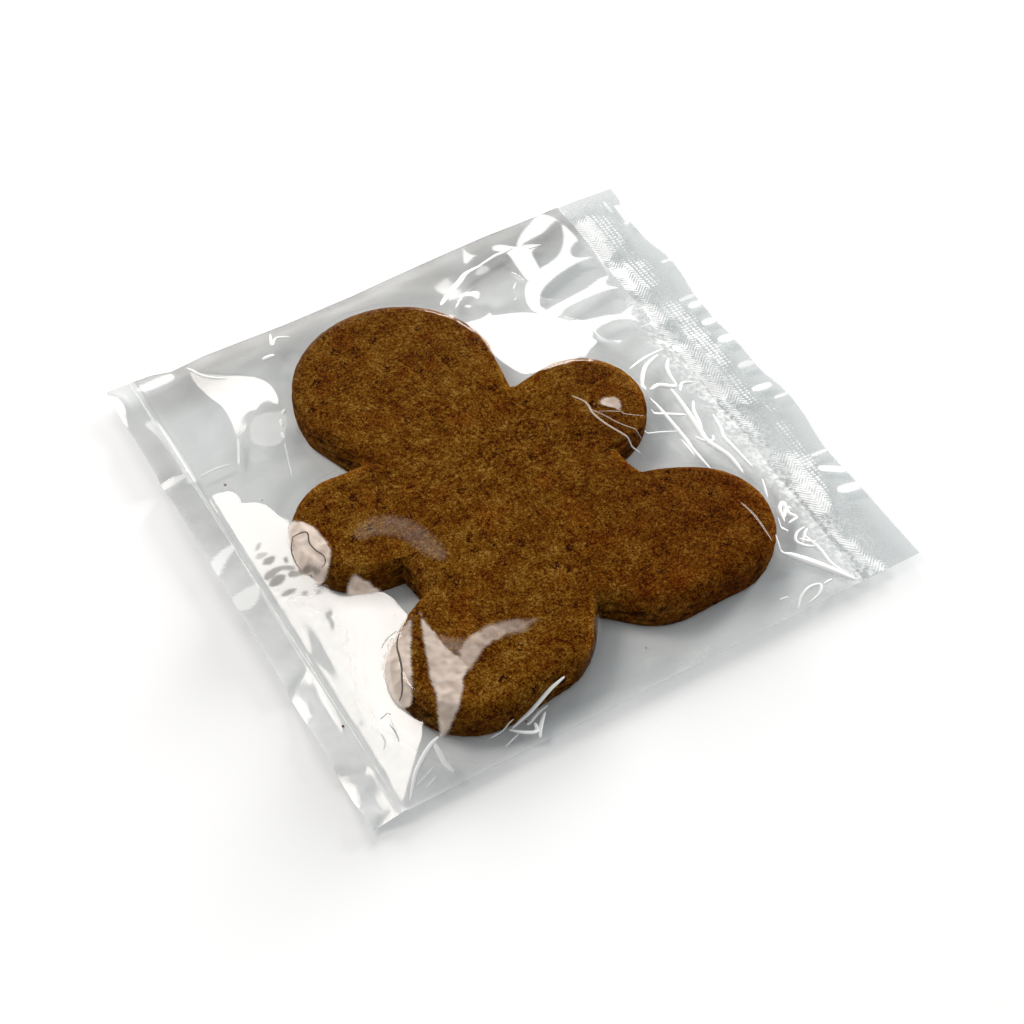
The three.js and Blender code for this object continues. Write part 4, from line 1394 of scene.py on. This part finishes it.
def crimpMesh(net):
    # the pressed band, fine on top and with a few rows of long faces below
    start, half = crimp["outerFrom"], film["length"] / 2
    outer = np.linspace(start, half, round((half - start) / crimp["outerStep"]) + 1)
    lineX = np.concatenate([np.arange(film["crimpLine"], start, crimp["stepX"]), outer])
    lineY = np.linspace(-film["width"] / 2, film["width"] / 2, round(film["width"] / crimp["stepY"]) + 1)
    plainX, plainY = np.meshgrid(lineX, lineY, indexing="ij")
    across = (plainX - film["crimpLine"]) / film["crimpBand"]
    x, y = askew(plainX, plainY)
    x = x + (np.interp(y, *zip(*crimp["cutEdge"])) - x[-1]) * across ** 3
    middle = overNet(net, x, y)
    halfThickness = crimp["thickness"] / 2 * np.clip(across * film["crimpBand"] / crimp["thinTo"], 0.25, 1)
    topPoints = np.stack([x, y, middle + halfThickness], axis=-1).reshape(-1, 3)
    underPoints = np.stack([x, y, middle - halfThickness], axis=-1)
    (rows, columns), count = x.shape, x.size
    underRows = np.linspace(0, rows - 1, crimp["underRows"]).round().astype(int)
    faces = gridFaces(rows, columns)[:, ::-1].tolist()
    faces += (gridFaces(len(underRows), columns) + count).tolist()
    last, lastUnder = (rows - 1) * columns, count + (len(underRows) - 1) * columns
    for j in range(columns - 1):
        faces.append((j, j + 1, count + j + 1, count + j))
        faces.append((last + j + 1, last + j, lastUnder + j, lastUnder + j + 1))
    for side in (0, columns - 1):
        for k, (low, high) in enumerate(zip(underRows, underRows[1:])):
            loop = [i * columns + side for i in range(low, high + 1)]
            loop += [count + (k + 1) * columns + side, count + k * columns + side]
            faces.append(tuple(loop if side else loop[::-1]))
    points = np.vstack([topPoints, underPoints[underRows].reshape(-1, 3)]) * mm
    thing = meshObject("crimp_seal", points.tolist(), faces)
    glint = seamFrost(x, y)
    for whiteness, width, places in glints:
        glint = np.maximum(glint, whiteness * alongStreak(x, y, width, places, crimp["glintSoft"]))
    spare = np.zeros(len(points) - count)
    paintPoints(thing, {"press": np.concatenate([pressedAt(x, y).ravel(), spare]),
                        "glint": np.concatenate([glint.ravel(), spare])})
    return thing


def makeCrimp(net, material):
    thing = crimpMesh(net)
    runTree(thing, ribTree(material), ribs)
    thing.data.shade_smooth()
    thing.data.set_sharp_from_angle(angle=film["sharpAngle"])
    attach(thing, "root")
    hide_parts("sealed_bag")


makeCrimp(filmNet, filmMaterial("crimpedFilm", "crimpedTint"))
print("end crimped")

studio = {
    "floor": 3.0,
    "floorColour": (0.9, 0.9, 0.9, 1),
    "ambient": 0.46,
    "ambientColour": (0.97, 1.0, 1.03, 1),
}

# The two suns: the way to each, its angle and its strength.
suns = {
    "rightSun": {"towards": (0.85, 0.35, 0.14), "angle": 16, "strength": 5.6},
    "backSun": {"towards": (0.3, 0.92, 0.30), "angle": 20, "strength": 1.65},
}


def makeFloor():
    half = studio["floor"] / 2
    corners = [(-half, -half, 0), (half, -half, 0), (half, half, 0), (-half, half, 0)]
    floor = meshObject("floor", corners, [(0, 1, 2, 3)], smooth=False)
    material, tree = newMaterial("floorPaint")
    paint = addNode(tree, "ShaderNodeBsdfDiffuse", {"Color": studio["floorColour"]})
    addNode(tree, "ShaderNodeOutputMaterial", {"Surface": paint})
    floor.data.materials.append(material)
    floor.visible_glossy = False


def addLight(name, kind, towards):
    light = bpy.data.objects.new(name, bpy.data.lights.new(name, kind))
    light.rotation_euler = towards.to_track_quat("Z", "Y").to_euler()
    bpy.context.collection.objects.link(light)
    return light


def makeLights():
    world = bpy.data.worlds.new("world")
    bpy.context.scene.world = world
    world.use_nodes = True
    background = world.node_tree.nodes["Background"].inputs
    background["Color"].default_value = studio["ambientColour"]
    background["Strength"].default_value = studio["ambient"]
    world.cycles_visibility.glossy = False
    for name, box in softboxes.items():
        away = Vector(box["towards"]).normalized()
        light = addLight(name, "AREA", away)
        light.location = away * box["distance"]
        light.visible_camera = False
        width, height = box["size"]
        light.data.shape = "RECTANGLE"
        light.data.size, light.data.size_y = width, height
        light.data.color = box["colour"]
        light.data.energy = box["radiance"] * math.pi * width * height
    for name, sunlight in suns.items():
        light = addLight(name, "SUN", Vector(sunlight["towards"]))
        light.visible_glossy = False
        light.data.energy = sunlight["strength"]
        light.data.angle = math.radians(sunlight["angle"])


makeFloor()
makeLights()
bpy.context.scene.view_settings.view_transform = "Standard"
print("studio lit")
